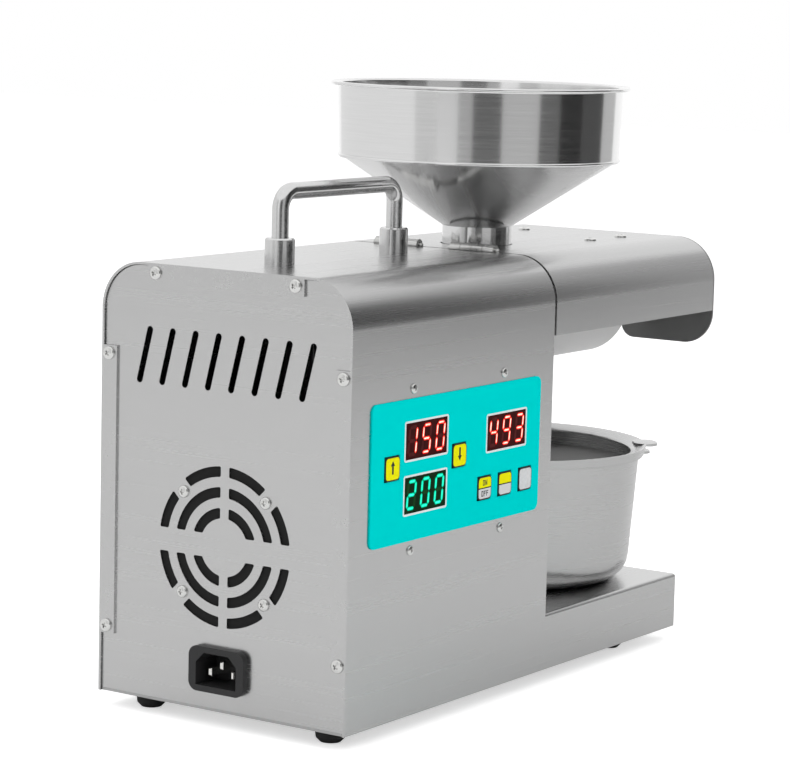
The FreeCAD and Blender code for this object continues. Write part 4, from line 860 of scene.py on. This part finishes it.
def screws_at(name, head, metal, places, axis, seed):
    """Instances of one head on a list of points, each turned its own way, as one mesh."""
    tree, start, end = geometry_tree(name + " layout", Head="Object", Seed="Int", Metal="Material")
    info = add_node(tree, "GeometryNodeObjectInfo", Object=start.outputs["Head"])
    random = add_node(tree, "FunctionNodeRandomValue", Seed=start.outputs["Seed"])
    random.inputs[3].default_value = math.pi  # the highest float that it draws
    points = add_node(tree, "GeometryNodeMeshToPoints", Mesh=start.outputs["Geometry"])
    facing = Vector((0, 0, 1)).rotation_difference(Vector(axis)).to_euler()
    heads = add_node(tree, "GeometryNodeInstanceOnPoints", Points=points.outputs["Points"],
                     Instance=info.outputs["Geometry"], Rotation=facing)
    twisted = add_node(tree, "GeometryNodeRotateInstances", Instances=heads.outputs["Instances"],
                       Rotation=combine(tree, Z=random.outputs[1]))
    end_tree(tree, twisted.outputs["Instances"], start.outputs["Metal"], end)
    return run_tree(name, tree, {"Head": head, "Seed": seed, "Metal": metal}, places)


def islands(node):
    """Lowest and highest corners of each separate solid of a CAD node, in the order of its vertices."""
    bm = bmesh.new()
    bm.from_mesh(NODES[node].data)
    bmesh.ops.remove_doubles(bm, verts=bm.verts, dist=WELD)
    seen, boxes = set(), []
    for first in bm.verts:
        if first in seen:
            continue
        seen.add(first)
        group = [first]
        for vert in group:  # the group grows while it is walked
            for edge in vert.link_edges:
                other = edge.other_vert(vert)
                if other not in seen:
                    seen.add(other)
                    group.append(other)
        boxes.append(tuple(Vector([end(v.co[k] for v in group) for k in range(3)]) for end in (min, max)))
    bm.free()
    return boxes


class PRESS_OT_screws(bpy.types.Operator):
    """Pan-head screws with cross recesses, set out by node trees"""
    bl_idname = "press.screws"
    bl_label = "Screws"

    def execute(self, context):
        s = context.scene.press_fasteners
        metal = polished_steel("Bright zinc screw", (0.74, 0.74, 0.73), 0.2, False)
        for node, diameter, axis, seat, seed in (
                ("tab_screws", s.tab_head, (-1, 0, 0), low("shell").x, 3),
                ("fan_screws", s.tab_head - 0.0006, (-1, 0, 0), low("rear_plate").x, 5),
                ("panel_screws", s.panel_head, (0, -1, 0), low("shell").y, 7),
                ("cover_screws", s.tab_head, (0, 0, 1), high("head_cover").z, 9)):
            k = next(i for i in range(3) if axis[i])
            places = []
            for a, b in islands(node):
                height = abs((b if axis[k] > 0 else a)[k] - seat)
                place = (a + b) / 2
                place[k] = seat
                places.append(place)
            head = screw_head(node + "_head", diameter / 2, height, s.recess)
            heads = screws_at(node + "_heads", head, metal, places, axis, seed)
            bpy.data.objects.remove(head)
            finish(heads, node)
        return {"FINISHED"}


# --- studio -------------------------------------------------------------------------------------

CARDS = ((196, 208, 0.42), (208, 231, 0.13), (231, 262, 0.50), (262, 280, 0.14), (280, 302, 0.03),
         (302, 328, 0.08), (328, 350, 0.55), (350, 418, 1.05), (58, 160, 0.85), (160, 179, 0.66))
CARD_RADIUS, CARD_LOW, CARD_HIGH = 1.15, 0.075, 1.0
CAMERA_PLACE = (-1.2912, -0.8471, 0.3602)
CAMERA_AZIMUTH, CAMERA_ELEVATION, CAMERA_ROLL = -56.09, 7.76, 1.42
FLOOR_REACH = 6
DIFFUSE_LEVEL, SEEN_LEVEL = 0.55, 1.0  # the world's strength for diffuse light, and where it is seen


class PRESS_OT_studio(bpy.types.Operator):
    """Pale floor, soft lights, dark and bright cards, and the camera"""
    bl_idname = "press.studio"
    bl_label = "Studio"

    def execute(self, context):
        st = context.scene.press_studio
        context.scene.view_settings.view_transform = "Standard"
        self.world()
        self.floor(st.floor_lift)
        for i, (start, end, level) in enumerate(CARDS):
            self.card("card_%d" % i, start, end, level)
        for name, place, aim, size, power in (
                ("key_light", (-0.6, -1.6, 1.9), (0, 0, 0.12), 1.8, st.key_power),
                ("fill_light", (-1.9, 0.9, 1.5), (0, 0, 0.12), 1.6, st.key_power * 0.8),
                ("top_light", (0.3, 0.2, 2.4), (0, 0, 0.1), 1.8, st.key_power * 0.6)):
            self.soft_light(name, place, aim, size, power)
        context.scene.camera = self.camera(st.lens_length)
        return {"FINISHED"}

    def world(self):
        """White room, dimmer for diffuse light than for the camera, for metal and through glass."""
        world = bpy.data.worlds.new("Studio")
        bpy.context.scene.world = world
        world.use_nodes = True
        tree = world.node_tree
        path = tree.nodes.new("ShaderNodeLightPath")
        seen = path.outputs["Is Camera Ray"]
        for ray in ("Is Glossy Ray", "Is Transmission Ray"):
            seen = calculate(tree, "MAXIMUM", seen, path.outputs[ray])
        level = add_node(tree, "ShaderNodeMapRange", Value=seen, To_Min=DIFFUSE_LEVEL, To_Max=SEEN_LEVEL)
        background = tree.nodes["Background"]
        feed(tree, background.inputs["Color"], (1, 1, 1, 1))
        feed(tree, background.inputs["Strength"], level.outputs["Result"])

    def floor(self, lift):
        """Pale floor that the camera sees a little brighter than it is lit."""
        r = FLOOR_REACH
        floor = mesh_object("studio_floor", [(-r, -r, 0), (r, -r, 0), (r, r, 0), (-r, r, 0)], [(0, 1, 2, 3)])
        pale = Surface("Pale floor", Base_Color=(0.93, 0.93, 0.93, 1), Roughness=0.9, Specular_IOR_Level=0.1,
                       Emission_Color=(1, 1, 1, 1))
        camera_ray = pale.tree.nodes.new("ShaderNodeLightPath").outputs["Is Camera Ray"]
        pale.set(Emission_Strength=calculate(pale.tree, "MULTIPLY", camera_ray, lift))
        floor.data.materials.append(pale.material)

    def card(self, name, start, end, level):
        """Curved reflector that only glossy surfaces see."""
        steps = 12
        points = arc(0, 0, CARD_RADIUS, start, end, steps)
        verts = [(x, y, z) for x, y in points for z in (CARD_LOW, CARD_HIGH)]
        card = mesh_object(name, verts, net(steps + 1, 2, columns_close=False))
        material = bpy.data.materials.new(name)
        material.use_nodes = True
        tree = material.node_tree
        tree.nodes.clear()
        emission = add_node(tree, "ShaderNodeEmission", Color=(level, level, level, 1))
        add_node(tree, "ShaderNodeOutputMaterial", Surface=emission.outputs[0])
        card.data.materials.append(material)
        card.visible_camera = False
        card.visible_diffuse = False
        card.visible_shadow = False

    def soft_light(self, name, place, aim, size, power):
        light = bpy.data.lights.new(name, "AREA")
        light.shape = "DISK"
        light.size = size
        light.energy = power
        obj = add_object(name, light)
        obj.location = place
        obj.rotation_euler = (Vector(aim) - Vector(place)).to_track_quat("-Z", "Y").to_euler()
        obj.visible_glossy = False
        obj.visible_camera = False

    def camera(self, lens_length):
        """Camera that looks along its azimuth and elevation, with a slight roll."""
        camera = bpy.data.cameras.new("Camera")
        camera.sensor_width = 36.0
        camera.lens = lens_length
        camera.clip_start, camera.clip_end = 0.05, 50
        obj = add_object("Camera", camera)
        azimuth, elevation, roll = (math.radians(v) for v in (CAMERA_AZIMUTH, CAMERA_ELEVATION, CAMERA_ROLL))
        back = Vector((math.sin(azimuth) * math.cos(elevation), -math.cos(azimuth) * math.cos(elevation),
                       math.sin(elevation)))
        level = (-back).cross(Vector((0, 0, 1))).normalized()
        upright = level.cross(-back)
        right = math.cos(roll) * level + math.sin(roll) * upright
        up = math.cos(roll) * upright - math.sin(roll) * level
        turned = Matrix((right, up, back)).transposed().to_4x4()
        obj.matrix_world = Matrix.Translation(CAMERA_PLACE) @ turned
        return obj


# --- add-on -------------------------------------------------------------------------------------

OPERATORS = (PRESS_OT_housing, PRESS_OT_drive, PRESS_OT_press_head, PRESS_OT_displays, PRESS_OT_keys,
             PRESS_OT_hopper, PRESS_OT_pot, PRESS_OT_strainer_mesh, PRESS_OT_handle, PRESS_OT_hinges,
             PRESS_OT_screws, PRESS_OT_studio)
GROUPS = {"press_finish": PressFinish, "press_display": DisplaySettings, "press_fasteners": FastenerSettings,
          "press_mesh": MeshSettings, "press_studio": StudioSettings}


class PRESS_PT_panel(bpy.types.Panel):
    """Sizes, colours and building steps of the oil press"""
    bl_idname = "PRESS_PT_panel"
    bl_label = "Oil Press"
    bl_space_type = "VIEW_3D"
    bl_region_type = "UI"
    bl_category = "Oil Press"

    def draw(self, context):
        for group in (getattr(context.scene, name) for name in GROUPS):
            column = self.layout.column(align=True)
            for name in group.__annotations__:
                column.prop(group, name)
        for operator in OPERATORS:
            self.layout.operator(operator.bl_idname)


CLASSES = (*GROUPS.values(), *OPERATORS, PRESS_PT_panel)


def register():
    for cls in CLASSES:
        bpy.utils.register_class(cls)
    for name, cls in GROUPS.items():
        setattr(bpy.types.Scene, name, bpy.props.PointerProperty(type=cls))


def unregister():
    for name in GROUPS:
        delattr(bpy.types.Scene, name)
    for cls in reversed(CLASSES):
        bpy.utils.unregister_class(cls)


def main():
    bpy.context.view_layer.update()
    register()
    for operator in OPERATORS:
        group, action = operator.bl_idname.split(".")
        getattr(getattr(bpy.ops, group), action)()


if __name__ == "__main__":
    main()
